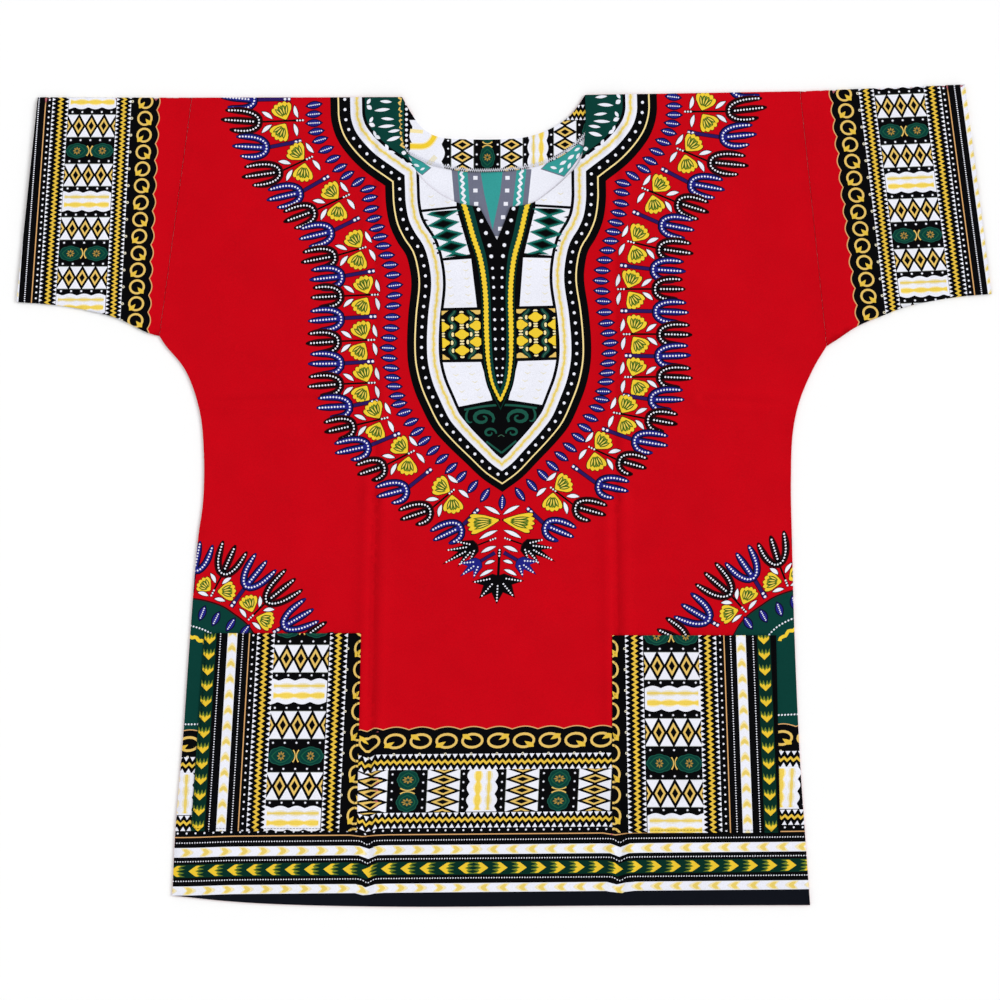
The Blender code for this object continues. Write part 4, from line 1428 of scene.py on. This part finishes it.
# Lines of points along a crease, as shares of its half-width to either side.
CREASE_LINES = (-3.2, -2, -1.2, -0.5, 0, 0.5, 1.2, 2, 3.2)


def crease_rows(loop, rows):
    """Points along the creases and on lines beside them, inside the loop."""
    found = [np.empty((0, 2))]
    for x0, y0, x1, y1, _, _, width in rows:
        run = straight((x0, y0), (x1, y1), 6)
        found += [offset(run, share * width) for share in CREASE_LINES]
    return clear_of(np.vstack(found), loop, 1.5)


def inked_triangles(loop, drawing, points):
    """Points, triangles and each triangle's ink for a panel cut out along the loop.

    The loop and the drawing's outlines are laid over each other as constraints of one triangulation. A
    triangle takes the ink of the last shape that covers it. Triangles outside the loop are left out.
    """
    outlines = [against_clock(loop)] + [against_clock(outline) for _, outline in drawing]
    starts = np.concatenate([[0], np.cumsum([len(outline) for outline in outlines])]).tolist()
    faces = [list(range(a, b)) for a, b in zip(starts, starts[1:])]
    given = [Vector(point) for point in np.vstack(outlines + [points]).tolist()]
    made, _, triangles, _, _, owners = delaunay_2d_cdt(given, [], faces, 1, 1e-4, True)
    top = np.array([max(own) if 0 in own else -1 for own in owners])
    kept = np.array(triangles)[top >= 0]
    names = list(INKS)
    inks = np.array([names.index("reverse")] + [names.index(ink) for ink, _ in drawing])
    return np.array([tuple(p) for p in made]), kept, inks[top[top >= 0]]


def edges_of(faces):
    """The triangles' directed edges, and a number for each that stands for its two points."""
    ends = np.concatenate([faces[:, [0, 1]], faces[:, [1, 2]], faces[:, [2, 0]]]).astype(np.int64)
    return ends, edge_number(ends, faces)


def edge_number(ends, faces):
    return ends[:, 0] * (int(faces.max()) + 1) + ends[:, 1]


def border_of(faces):
    """Indices of the points along the triangles' outer edge, in order: the edges that one triangle has."""
    ends, forward = edges_of(faces)
    follow = dict(ends[~np.isin(forward, edge_number(ends[:, ::-1], faces))].tolist())
    order = [next(iter(follow))]
    while follow[order[-1]] != order[0]:
        order.append(follow[order[-1]])
    return np.array(order)


def border_inks(faces, inks, edge):
    """The ink of the triangle behind each border edge."""
    _, numbers = edges_of(faces)
    order = np.argsort(numbers)
    wanted = edge_number(np.column_stack([edge, np.roll(edge, -1)]), faces)
    return np.tile(inks, 3)[order[np.searchsorted(numbers[order], wanted)]]


def surface_with_normals(place, points, facing):
    """The placed points, and their normals from the placed surface's slopes along x and y."""
    here = place(points)
    along_x = place(points + (0.25, 0)) - here
    along_y = place(points + (0, 0.25)) - here
    return here, unit(np.cross(along_x, along_y) * facing)


def bake_layout(flat, low, high):
    """Plane points scaled evenly into the rectangle from low to high."""
    low = np.array(low)
    size = np.array(high) - low
    start = flat.min(axis=0)
    scale = min(size / (flat.max(axis=0) - start))
    return low + (flat - start) * scale


def quad_corners(a, b, c, d):
    """Values at the corners of the triangles a, b, c and a, c, d, for each row of the four."""
    return np.vstack([np.stack([a, b, c], axis=1), np.stack([a, c, d], axis=1)])


# Where the two sides and the rim lie in the bake layout: corners of the first two, and for the rim its two
# long sides, its start and its length.
TOP_LAYOUT = ((0.01, 0.01), (0.77, 0.99))
UNDER_LAYOUT = ((0.79, 0.01), (0.99, 0.3))
RIM_LAYOUT = (0.80, 0.98, 0.34, 0.64)


def rim_layout(count):
    """The rim's place in the bake layout, as corners of its triangles."""
    near, far, start, length = RIM_LAYOUT
    share = np.arange(count + 1) / count * length + start
    near_run = np.column_stack([np.full(count + 1, near), share])
    far_run = np.column_stack([np.full(count + 1, far), share])
    return quad_corners(near_run[:-1], far_run[:-1], far_run[1:], near_run[1:]).reshape(-1, 2)


def sheet_piece(name, loop, prints, places, grid, rows=()):
    """A panel of cloth with a printed face, a hidden face and a rim between them.

    prints holds the outer side's and the inner side's drawings, and places the two functions that put plane
    points into space. The loop first gets the points where the inner side's outlines cross it, so that both
    sides have the same edge.
    """
    outer, inner = prints
    if inner:
        points, triangles, _ = inked_triangles(loop, inner, np.empty((0, 2)))
        loop = points[border_of(triangles)]
    fine = np.vstack([grid_points(loop, grid, grid * 0.4), crease_rows(loop, rows)])
    first, first_faces, first_inks = inked_triangles(loop, outer, fine)
    edge = border_of(first_faces)
    coarse = np.vstack([grid_points(loop, grid * 1.6, grid * 0.8), crease_rows(loop, rows)])
    second, second_faces, second_inks = inked_triangles(first[edge], inner, coarse)
    other = border_of(second_faces)
    other = np.roll(other, -int(np.argmin(np.linalg.norm(second[other] - first[edge[0]], axis=1))))
    if len(other) != len(edge) or np.abs(second[other] - first[edge]).max() > 0.05:
        raise RuntimeError(f"{name}: the two sides' edges differ, {len(edge)} and {len(other)} points")
    edge_inks = border_inks(first_faces, first_inks, edge)
    upside, up_normals = surface_with_normals(places[0], first, 1)
    downside, down_normals = surface_with_normals(places[1], second, -1)
    second_faces = second_faces[:, ::-1]
    other = other + len(first)
    edge_next = np.roll(edge, -1)
    outward = unit(np.cross(upside[edge_next] - upside[np.roll(edge, 1)], up_normals[edge]))
    after = np.roll(outward, -1, axis=0)
    faces = np.vstack([
        first_faces, second_faces + len(first), quad_corners(edge, other, np.roll(other, -1), edge_next),
    ])
    normals = np.vstack([
        up_normals[first_faces.ravel()], down_normals[second_faces.ravel()],
        quad_corners(outward, outward, after, after).reshape(-1, 3),
    ])
    uvs = np.vstack([
        bake_layout(first, *TOP_LAYOUT)[first_faces.ravel()],
        bake_layout(second, *UNDER_LAYOUT)[second_faces.ravel()], rim_layout(len(edge)),
    ])
    inks = np.concatenate([first_inks, second_inks, edge_inks, edge_inks])
    piece = mesh_piece(name, np.vstack([upside, downside]), faces, normals)
    layout = piece.data.uv_layers.new(name="OFBake")
    layout.data.foreach_set("uv", uvs.ravel())
    colours = np.array([linear_ink(ink) for ink in INKS])
    attribute = piece.data.color_attributes.new("print", "FLOAT_COLOR", "CORNER")
    attribute.data.foreach_set("color", np.repeat(colours[inks], 3, axis=0).ravel())
    piece.data.materials.append(printed_cotton())
    return piece


def linear_ink(ink):
    """The ink as the session's settings hold it, with an alpha of one."""
    return tuple(getattr(bpy.context.scene.dashiki_inks, ink)) + (1,)


def mesh_piece(name, points, faces, normals=None):
    """An object from points in millimetres and triangles, smooth, with the given normals at its corners."""
    mesh = bpy.data.meshes.new(name)
    mesh.vertices.add(len(points))
    mesh.vertices.foreach_set("co", (points * MM).astype(np.float32).ravel())
    mesh.loops.add(len(faces) * 3)
    mesh.loops.foreach_set("vertex_index", faces.astype(np.int32).ravel())
    mesh.polygons.add(len(faces))
    mesh.polygons.foreach_set("loop_start", np.arange(0, len(faces) * 3, 3, dtype=np.int32))
    mesh.update(calc_edges=True)
    mesh.shade_smooth()
    if normals is not None:
        mesh.normals_split_custom_set(normals.tolist())
    piece = bpy.data.objects.new(name, mesh)
    bpy.context.scene.collection.objects.link(piece)
    return piece


def thickness():
    return bpy.context.scene.dashiki_sizes.cloth_thickness / MM


def two_sides(heights):
    """Functions that put plane points on a piece's upper side and on its underside, given their heights."""
    return [lambda points, side=side: np.column_stack([points, heights(points)[side]]) for side in (0, 1)]


def front_places():
    """The front's two sides: its top, rolled down at every edge, and its underside one cloth below."""
    edge = closed_run(body_loop(front_neck()))

    def heights(points):
        top = front_under(points) + CLOTH - edge_drop(points, edge)
        return top, np.maximum(top - thickness(), BED - SEAM_GAP + 0.1)

    return two_sides(heights)


def pocket_places(corners):
    """A pocket's two sides, over the front's top. The mouth, its last side, stays up and open."""
    sewn = np.vstack([straight(a, b, 6) for a, b in zip(corners, corners[1:])])

    def heights(points):
        ground = front_under(points) + CLOTH
        top = ground + SEAM_GAP + CLOTH - edge_drop(points, sewn)
        return top, np.maximum(top - thickness(), ground + 0.1)

    return two_sides(heights)


def level_places(low, high, run=None):
    """Two level sides. The upper one rolls down along the run, by half as much as a sewn edge."""
    def heights(points):
        drop = edge_drop(points, run) * 0.5 if run is not None else 0
        return np.full(len(points), high) - drop, np.full(len(points), low)

    return two_sides(heights)


class Sleeve:
    """One flat piece folded along its top edge. Plane points with s above 0 are its upper layer, the others
    its lower layer. s is the distance from the fold line."""

    def __init__(self, side):
        cuff, seam, under = SLEEVES[side]
        self.cuff = np.array(cuff, float)
        self.seam = np.array(seam, float)
        self.seam[0] += side * SEAM_GAP
        self.under = curve_through(under, 5)
        self.under[-1, 0] += side * SEAM_GAP
        self.along = (self.seam - self.cuff) / np.linalg.norm(self.seam - self.cuff)
        self.down = np.array([self.along[1], -self.along[0]]) * (-side)

    def loop(self):
        """The flat piece's outline: the lower layer's edges mirrored across the fold line."""
        slack = (math.pi / 2 - 1) * FOLD_RADIUS
        under = self.under + self.down * slack
        mirror = self.mirrored(under)
        return joined(
            under,
            straight(under[-1], self.seam, 6),
            straight(self.seam, mirror[-1], 6),
            mirror[::-1],
            straight(mirror[0], self.cuff, 6),
            straight(self.cuff, under[0], 6),
        )

    def mirrored(self, points):
        away = (points - self.cuff) @ self.down
        return points - 2 * away[:, None] * self.down

    def place(self, points, depth):
        """The folded place of plane points, depth below the outer side.

        Beyond a quarter turn of the fold the cloth lies level; within it, it follows a half circle. At the
        underarm both layers close towards each other, as a quarter ellipse.
        """
        local = points - self.cuff
        s = local @ self.down
        t = local @ self.along
        quarter = math.pi / 2 * FOLD_RADIUS
        angle = np.clip(s / FOLD_RADIUS, -math.pi / 2, math.pi / 2)
        radius = FOLD_RADIUS - depth
        away = FOLD_RADIUS - radius * np.cos(angle) + np.maximum(np.abs(s) - quarter, 0)
        flat = self.cuff + t[:, None] * self.along + away[:, None] * self.down
        inward = distance_to(flat, self.under)
        closing = np.sqrt(1 - (1 - np.clip(inward / 3, 0, 1)) ** 2)
        least = 0.85 - depth
        half = least + (radius - least) * closing
        z = FOLD_RADIUS + half * np.sin(angle)
        width = inward + away
        fade = np.clip(np.minimum(away, inward) / np.maximum(width, 1) * 5, 0, 1)
        share = np.clip(t / np.linalg.norm(self.seam - self.cuff), 0, 1)
        lift = np.clip((1 - share) * 4, 0, 1)
        rise = lift * fade * (0.2 + swell_height(flat, SLEEVE_SWELLS))
        drop = edge_drop(flat, np.array([self.seam, self.under[-1]]))
        return np.column_stack([flat, z + np.where(s > 0, rise - drop, 0)])


# ==== materials
def linear(value):
    """One sRGB channel of 0 to 255 as linear light."""
    value = value / 255
    return value / 12.92 if value < 0.04045 else ((value + 0.055) / 1.055) ** 2.4


def node_group(name, inputs, outputs, build):
    """The node group of that name, built once. Its sockets are rows of name, socket type and default."""
    if name in bpy.data.node_groups:
        return bpy.data.node_groups[name]
    group = bpy.data.node_groups.new(name, "ShaderNodeTree")
    for in_out, rows in (("INPUT", inputs), ("OUTPUT", outputs)):
        for label, kind, default in rows:
            socket = group.interface.new_socket(label, in_out=in_out, socket_type=kind)
            if default is not None:
                socket.default_value = default
    build(group, group.nodes.new("NodeGroupInput"), group.nodes.new("NodeGroupOutput"))
    return group


def math_node(group, operation, first, second):
    """A Math node; each operand is a socket or a number."""
    node = group.nodes.new("ShaderNodeMath")
    node.operation = operation
    for i, operand in enumerate((first, second)):
        if isinstance(operand, (int, float)):
            node.inputs[i].default_value = operand
        elif operand is not None:
            group.links.new(operand, node.inputs[i])
    return node.outputs[0]


def noise_node(group, vector, scale, detail):
    node = group.nodes.new("ShaderNodeTexNoise")
    node.inputs["Scale"].default_value = scale
    node.inputs["Detail"].default_value = detail
    group.links.new(vector, node.inputs["Vector"])
    return node.outputs["Fac"]


def build_mottling(group, given, made):
    """Colour times one plus a slow noise and a fine noise, each times its strength."""
    vector = given.outputs["Vector"]
    slow = math_node(group, "SUBTRACT", noise_node(group, vector, 26.0, 2.0), 0.5)
    fine = math_node(group, "SUBTRACT", noise_node(group, vector, 950.0, 1.0), 0.5)
    slow = math_node(group, "MULTIPLY", slow, given.outputs["Slow"])
    fine = math_node(group, "MULTIPLY", fine, given.outputs["Fine"])
    gain = math_node(group, "ADD", math_node(group, "ADD", slow, fine), 1.0)
    scaled = group.nodes.new("ShaderNodeVectorMath")
    scaled.operation = "SCALE"
    group.links.new(given.outputs["Color"], scaled.inputs[0])
    group.links.new(gain, scaled.inputs["Scale"])
    group.links.new(scaled.outputs["Vector"], made.inputs["Color"])


def build_weave(group, given, made):
    """Plain weave: the product of a sine along x and one along y, with a fine noise for uneven threads."""
    split = group.nodes.new("ShaderNodeSeparateXYZ")
    group.links.new(given.outputs["Vector"], split.inputs[0])
    turns = math_node(group, "DIVIDE", 2 * math.pi, given.outputs["Thread"])
    angles = [math_node(group, "MULTIPLY", split.outputs[axis], turns) for axis in ("X", "Y")]
    waves = [math_node(group, "SINE", angle, None) for angle in angles]
    height = math_node(group, "MULTIPLY", *waves)
    slub = math_node(group, "SUBTRACT", noise_node(group, given.outputs["Vector"], 700.0, 2.0), 0.5)
    height = math_node(group, "ADD", height, math_node(group, "MULTIPLY", slub, 1.2))
    group.links.new(height, made.inputs["Height"])


# The node groups. Columns: name, sockets in, sockets out, what builds it.
MOTTLING = (
    "dye mottling",
    (("Color", "NodeSocketColor", None), ("Vector", "NodeSocketVector", None),
     ("Slow", "NodeSocketFloat", 0.16), ("Fine", "NodeSocketFloat", 0.3)),
    (("Color", "NodeSocketColor", None),),
    build_mottling,
)
WEAVE = (
    "plain weave",
    (("Vector", "NodeSocketVector", None), ("Thread", "NodeSocketFloat", 0.0009)),
    (("Height", "NodeSocketFloat", None),),
    build_weave,
)


def group_node(tree, group):
    node = tree.nodes.new("ShaderNodeGroup")
    node.node_tree = node_group(*group)
    return node


def fabric_material(name, colour_of):
    """Cotton: a colour with dye mottling, the weave's bump, an uneven roughness and a little sheen."""
    material = bpy.data.materials.new(name)
    material.use_nodes = True
    tree = material.node_tree
    shader = tree.nodes["Principled BSDF"]
    where = tree.nodes.new("ShaderNodeTexCoord").outputs["Object"]
    dyed = group_node(tree, MOTTLING)
    tree.links.new(where, dyed.inputs["Vector"])
    colour_of(tree, dyed.inputs["Color"])
    tree.links.new(dyed.outputs["Color"], shader.inputs["Base Color"])
    woven = group_node(tree, WEAVE)
    woven.inputs["Thread"].default_value = bpy.context.scene.dashiki_sizes.thread_pitch
    tree.links.new(where, woven.inputs["Vector"])
    bump = tree.nodes.new("ShaderNodeBump")
    bump.inputs["Strength"].default_value = 0.22
    bump.inputs["Distance"].default_value = 0.00012
    tree.links.new(woven.outputs["Height"], bump.inputs["Height"])
    tree.links.new(bump.outputs["Normal"], shader.inputs["Normal"])
    rough = math_node(tree, "MULTIPLY", noise_node(tree, where, 60.0, 2.0), 0.2)
    tree.links.new(math_node(tree, "ADD", rough, 0.68), shader.inputs["Roughness"])
    shader.inputs["Specular IOR Level"].default_value = 0.04
    shader.inputs["Sheen Weight"].default_value = 0.01
    return material


def printed_cotton():
    """Cotton that takes its colour from the cloth's print attribute."""
    if "printed cotton" in bpy.data.materials:
        return bpy.data.materials["printed cotton"]

    def colour_of(tree, socket):
        inked = tree.nodes.new("ShaderNodeAttribute")
        inked.attribute_name = "print"
        tree.links.new(inked.outputs["Color"], socket)

    return fabric_material("printed cotton", colour_of)


def sewing_thread(name, ink):
    """Spun thread of one ink."""
    def colour_of(tree, socket):
        plain = tree.nodes.new("ShaderNodeRGB")
        plain.outputs[0].default_value = linear_ink(ink)
        tree.links.new(plain.outputs[0], socket)

    return fabric_material(name, colour_of)


# ==== sewing
TOPSTITCH_INSET = 2.5  # from a pocket's edge
STITCH = 2.3
STITCH_GAP = 0.7
THREAD_RADIUS = 0.2
STITCH_PROUD = 0.2  # how far a stitch stands up
OVERLOCK_WIDTH = -3.6  # to the cloth's side of the facing's edge
OVERLOCK_PITCH = 2.1
OVERLOCK_RADIUS = 0.36
OVERLOCK_PROUD = 0.15


def thread_tube(paths, radius, sides=5):
    """Points and triangles of a round thread along each path in space, its ends drawn in and closed."""
    all_points = []
    all_faces = []
    shift = 0
    turn = np.arange(sides) * 2 * math.pi / sides
    corners = np.arange(1, sides - 1)
    cap = np.column_stack([0 * corners, corners, corners + 1])
    for path in paths:
        along = unit(np.gradient(path, axis=0))
        side = unit(np.cross(along, (0.0, 0.0, 1.0)))
        lift = np.cross(side, along)
        size = np.full(len(path), radius)
        size[[0, -1]] = radius * 0.35
        ring = side[:, None] * np.cos(turn)[None, :, None] + lift[:, None] * np.sin(turn)[None, :, None]
        all_points.append((path[:, None] + ring * size[:, None, None]).reshape(-1, 3))
        i, j = np.meshgrid(np.arange(len(path) - 1), np.arange(sides), indexing="ij")
        a = (i * sides + j).ravel() + shift
        b = (i * sides + (j + 1) % sides).ravel() + shift
        all_faces += [quad_corners(a, b, b + sides, a + sides)]
        all_faces += [cap[:, [0, 2, 1]] + shift, cap + shift + (len(path) - 1) * sides]
        shift += len(path) * sides
    return np.vstack(all_points), np.vstack(all_faces)


def stitch_paths(run, place):
    """Short stitches along the run on the placed surface: each one arches over it."""
    starts = np.arange(1.0, lengths_of(run)[-1] - STITCH, STITCH + STITCH_GAP)
    at = starts[:, None] + np.linspace(0, STITCH, 4)
    spot = place(points_at(run, at.ravel())).reshape(-1, 4, 3)
    spot[:, :, 2] += np.array([-0.1, 1.0, 1.0, -0.1]) * STITCH_PROUD
    return list(spot)


def overlock_path(run, place):
    """One thread that zigzags across the edge, over the cloth."""
    at = np.arange(0.5, lengths_of(run)[-1] - 0.5, OVERLOCK_PITCH / 4)
    flat = points_at(run, at)
    swing = np.array([0.0, 0.5, 1.0, 0.5])[np.arange(len(at)) % 4]
    spot = place(flat + normals_of(flat) * (swing * OVERLOCK_WIDTH)[:, None])
    spot[:, 2] += OVERLOCK_PROUD
    return spot


# ==== the add-on
def finish_piece(piece, node):
    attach(piece, "root")
    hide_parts(node)


def cloth_piece(node, loop, prints, places, grid, rows=()):
    """The cloth over a node, attached to the root; the node itself is hidden."""
    piece = sheet_piece(node + "_cloth", loop, prints, places, grid, rows)
    finish_piece(piece, node)


def thread_piece(name, node, paths, radius, material):
    piece = mesh_piece(name, *thread_tube(paths, radius))
    piece.data.materials.append(material)
    finish_piece(piece, node)


def grid_step():
    return bpy.context.scene.dashiki_sizes.grid_step / MM


class DashikiSizes(bpy.types.PropertyGroup):
    """Sizes of the cloth and of the look at it."""

    cloth_thickness: FloatProperty(
        name="Cloth thickness", description="Thickness of one layer of cloth", default=0.0008, unit="LENGTH"
    )
    thread_pitch: FloatProperty(
        name="Thread pitch", description="Width of two threads of the weave", default=0.0009, unit="LENGTH"
    )
    grid_step: FloatProperty(
        name="Grid step", description="Distance between points of the plain cloth", default=0.0075,
        unit="LENGTH",
    )
    camera_height: FloatProperty(
        name="Camera height", description="Height of the camera above the cloth", default=4.0, unit="LENGTH"
    )
    picture_width: FloatProperty(
        name="Picture width", description="Width of what the camera sees", default=0.93727, unit="LENGTH"
    )


def ink_property(name, ink):
    """A colour setting whose default is the ink in linear light."""
    return FloatVectorProperty(
        name=name.capitalize(), description=f"Colour of the {name} ink", subtype="COLOR", size=3,
        default=tuple(linear(value) for value in ink), min=0.0, max=1.0,
    )


class DashikiInks(bpy.types.PropertyGroup):
    """The inks of the print."""

    __annotations__ = {name: ink_property(name, ink) for name, ink in INKS.items()}


class DASHIKI_OT_back(bpy.types.Operator):
    """Build the back panel, printed face down"""

    bl_idname = "dashiki.back"
    bl_label = "Back"

    def execute(self, context):
        loop = body_loop(curve_through(BACK_NECK, 4))
        prints = (inner_back_print(), body_print())
        cloth_piece("back", loop, prints, level_places(0.0, CLOTH), grid_step() * 3)
        return {"FINISHED"}


class DASHIKI_OT_facing(bpy.types.Operator):
    """Build the neck facing"""

    bl_idname = "dashiki.facing"
    bl_label = "Neck facing"

    def execute(self, context):
        places = level_places(BED, BED + thickness(), curve_through(FACING_EDGE, 5))
        prints = (facing_print(), [])
        cloth_piece("neck_facing", facing_loop(), prints, places, 9)
        return {"FINISHED"}


class DASHIKI_OT_front(bpy.types.Operator):
    """Build the front panel"""

    bl_idname = "dashiki.front"
    bl_label = "Front"

    def execute(self, context):
        loop = body_loop(front_neck())
        prints = (body_print(), [])
        cloth_piece("front", loop, prints, front_places(), grid_step(), CREASES)
        return {"FINISHED"}


class DASHIKI_OT_pockets(bpy.types.Operator):
    """Build the two patch pockets"""

    bl_idname = "dashiki.pockets"
    bl_label = "Pockets"

    def execute(self, context):
        for side, node, corners in POCKETS:
            prints = (pocket_print(side), [])
            places = pocket_places(corners)
            crease = CREASES[3:4]
            loop = pocket_loop(corners)
            cloth_piece(node, loop, prints, places, grid_step(), crease)
        return {"FINISHED"}


class DASHIKI_OT_sleeves(bpy.types.Operator):
    """Build the two sleeves, each one piece folded along its top"""

    bl_idname = "dashiki.sleeves"
    bl_label = "Sleeves"

    def execute(self, context):
        for side, node in ((-1, "sleeve_left"), (1, "sleeve_right")):
            sleeve = Sleeve(side)
            fold = ((*sleeve.cuff, *sleeve.seam, 0, 0, 1.4),)
            places = [
                lambda points, depth=depth, sleeve=sleeve: sleeve.place(points, depth)
                for depth in (0.0, thickness())
            ]
            prints = (sleeve_print(side), [])
            cloth_piece(node, sleeve.loop(), prints, places, grid_step(), fold)
        return {"FINISHED"}


class DASHIKI_OT_stitching(bpy.types.Operator):
    """Build the overlocked edge of the facing and the rows of topstitching"""

    bl_idname = "dashiki.stitching"
    bl_label = "Stitching"

    def execute(self, context):
        above = level_places(0.0, BED + thickness())[0]
        paths = [overlock_path(curve_through(FACING_EDGE, 3), above)]
        white = sewing_thread("white thread", "white")
        thread_piece("facing_overlock", "neck_facing", paths, OVERLOCK_RADIUS, white)
        black = sewing_thread("black thread", "black")
        for _, node, corners in POCKETS:
            ends = np.array(corners, float)
            ends -= np.sign(ends - ends.mean(axis=0)) * TOPSTITCH_INSET
            run = joined(*(straight(a, b, 6) for a, b in zip(ends, ends[1:])))
            paths = stitch_paths(run, pocket_places(corners)[0])
            thread_piece(node + "_topstitch", node, paths, THREAD_RADIUS, black)
        return {"FINISHED"}


class DASHIKI_OT_stage(bpy.types.Operator):
    """Build the floor, the lights and the camera"""

    bl_idname = "dashiki.stage"
    bl_label = "Stage"

    def execute(self, context):
        scene = context.scene
        scene.view_settings.view_transform = "Standard"
        floor = mesh_piece(
            "floor",
            np.array([(-4000, -4000, 0), (4000, -4000, 0), (4000, 4000, 0), (-4000, 4000, 0)], float),
            np.array([(0, 1, 2), (0, 2, 3)]),
        )
        material = bpy.data.materials.new("white paper")
        material.use_nodes = True
        shader = material.node_tree.nodes["Principled BSDF"]
        shader.inputs["Base Color"].default_value = (0.93, 0.93, 0.93, 1)
        shader.inputs["Roughness"].default_value = 0.9
        floor.data.materials.append(material)
        world = bpy.data.worlds.new("studio")
        world.use_nodes = True
        world.node_tree.nodes["Background"].inputs["Color"].default_value = (1, 1, 1, 1)
        world.node_tree.nodes["Background"].inputs["Strength"].default_value = 0.83
        scene.world = world
        light = bpy.data.lights.new("softbox", "SUN")
        light.energy = 1.3
        light.angle = math.radians(28)
        lamp = bpy.data.objects.new("softbox", light)
        lamp.rotation_euler = (math.radians(-12), math.radians(52), 0)
        scene.collection.objects.link(lamp)
        sizes = scene.dashiki_sizes
        camera = bpy.data.cameras.new("camera")
        camera.sensor_width = 36
        camera.lens = 36 * sizes.camera_height / sizes.picture_width
        camera.clip_start = 0.1
        camera.clip_end = 20
        view = bpy.data.objects.new("camera", camera)
        view.location = (-0.00375, -0.0042, sizes.camera_height + 0.003)
        scene.collection.objects.link(view)
        scene.camera = view
        return {"FINISHED"}


PARTS = (
    DASHIKI_OT_back, DASHIKI_OT_facing, DASHIKI_OT_front, DASHIKI_OT_pockets, DASHIKI_OT_sleeves,
    DASHIKI_OT_stitching, DASHIKI_OT_stage,
)


class DASHIKI_PT_panel(bpy.types.Panel):
    """Lists the parts in the order in which they are built"""

    bl_label = "Dashiki shirt"
    bl_space_type = "VIEW_3D"
    bl_region_type = "UI"
    bl_category = "Dashiki"

    def draw(self, context):
        for name in DashikiSizes.__annotations__:
            self.layout.prop(context.scene.dashiki_sizes, name)
        for part in PARTS:
            self.layout.operator(part.bl_idname)
        for name in INKS:
            self.layout.prop(context.scene.dashiki_inks, name)


CLASSES = (DashikiSizes, DashikiInks, *PARTS, DASHIKI_PT_panel)


def register():
    for cls in CLASSES:
        bpy.utils.register_class(cls)
    bpy.types.Scene.dashiki_sizes = PointerProperty(type=DashikiSizes)
    bpy.types.Scene.dashiki_inks = PointerProperty(type=DashikiInks)


def unregister():
    del bpy.types.Scene.dashiki_inks
    del bpy.types.Scene.dashiki_sizes
    for cls in reversed(CLASSES):
        bpy.utils.unregister_class(cls)


def main():
    register()
    bpy.ops.dashiki.back()
    bpy.ops.dashiki.facing()
    bpy.ops.dashiki.front()
    bpy.ops.dashiki.pockets()
    bpy.ops.dashiki.sleeves()
    bpy.ops.dashiki.stitching()
    bpy.ops.dashiki.stage()


if __name__ == "__main__":
    main()
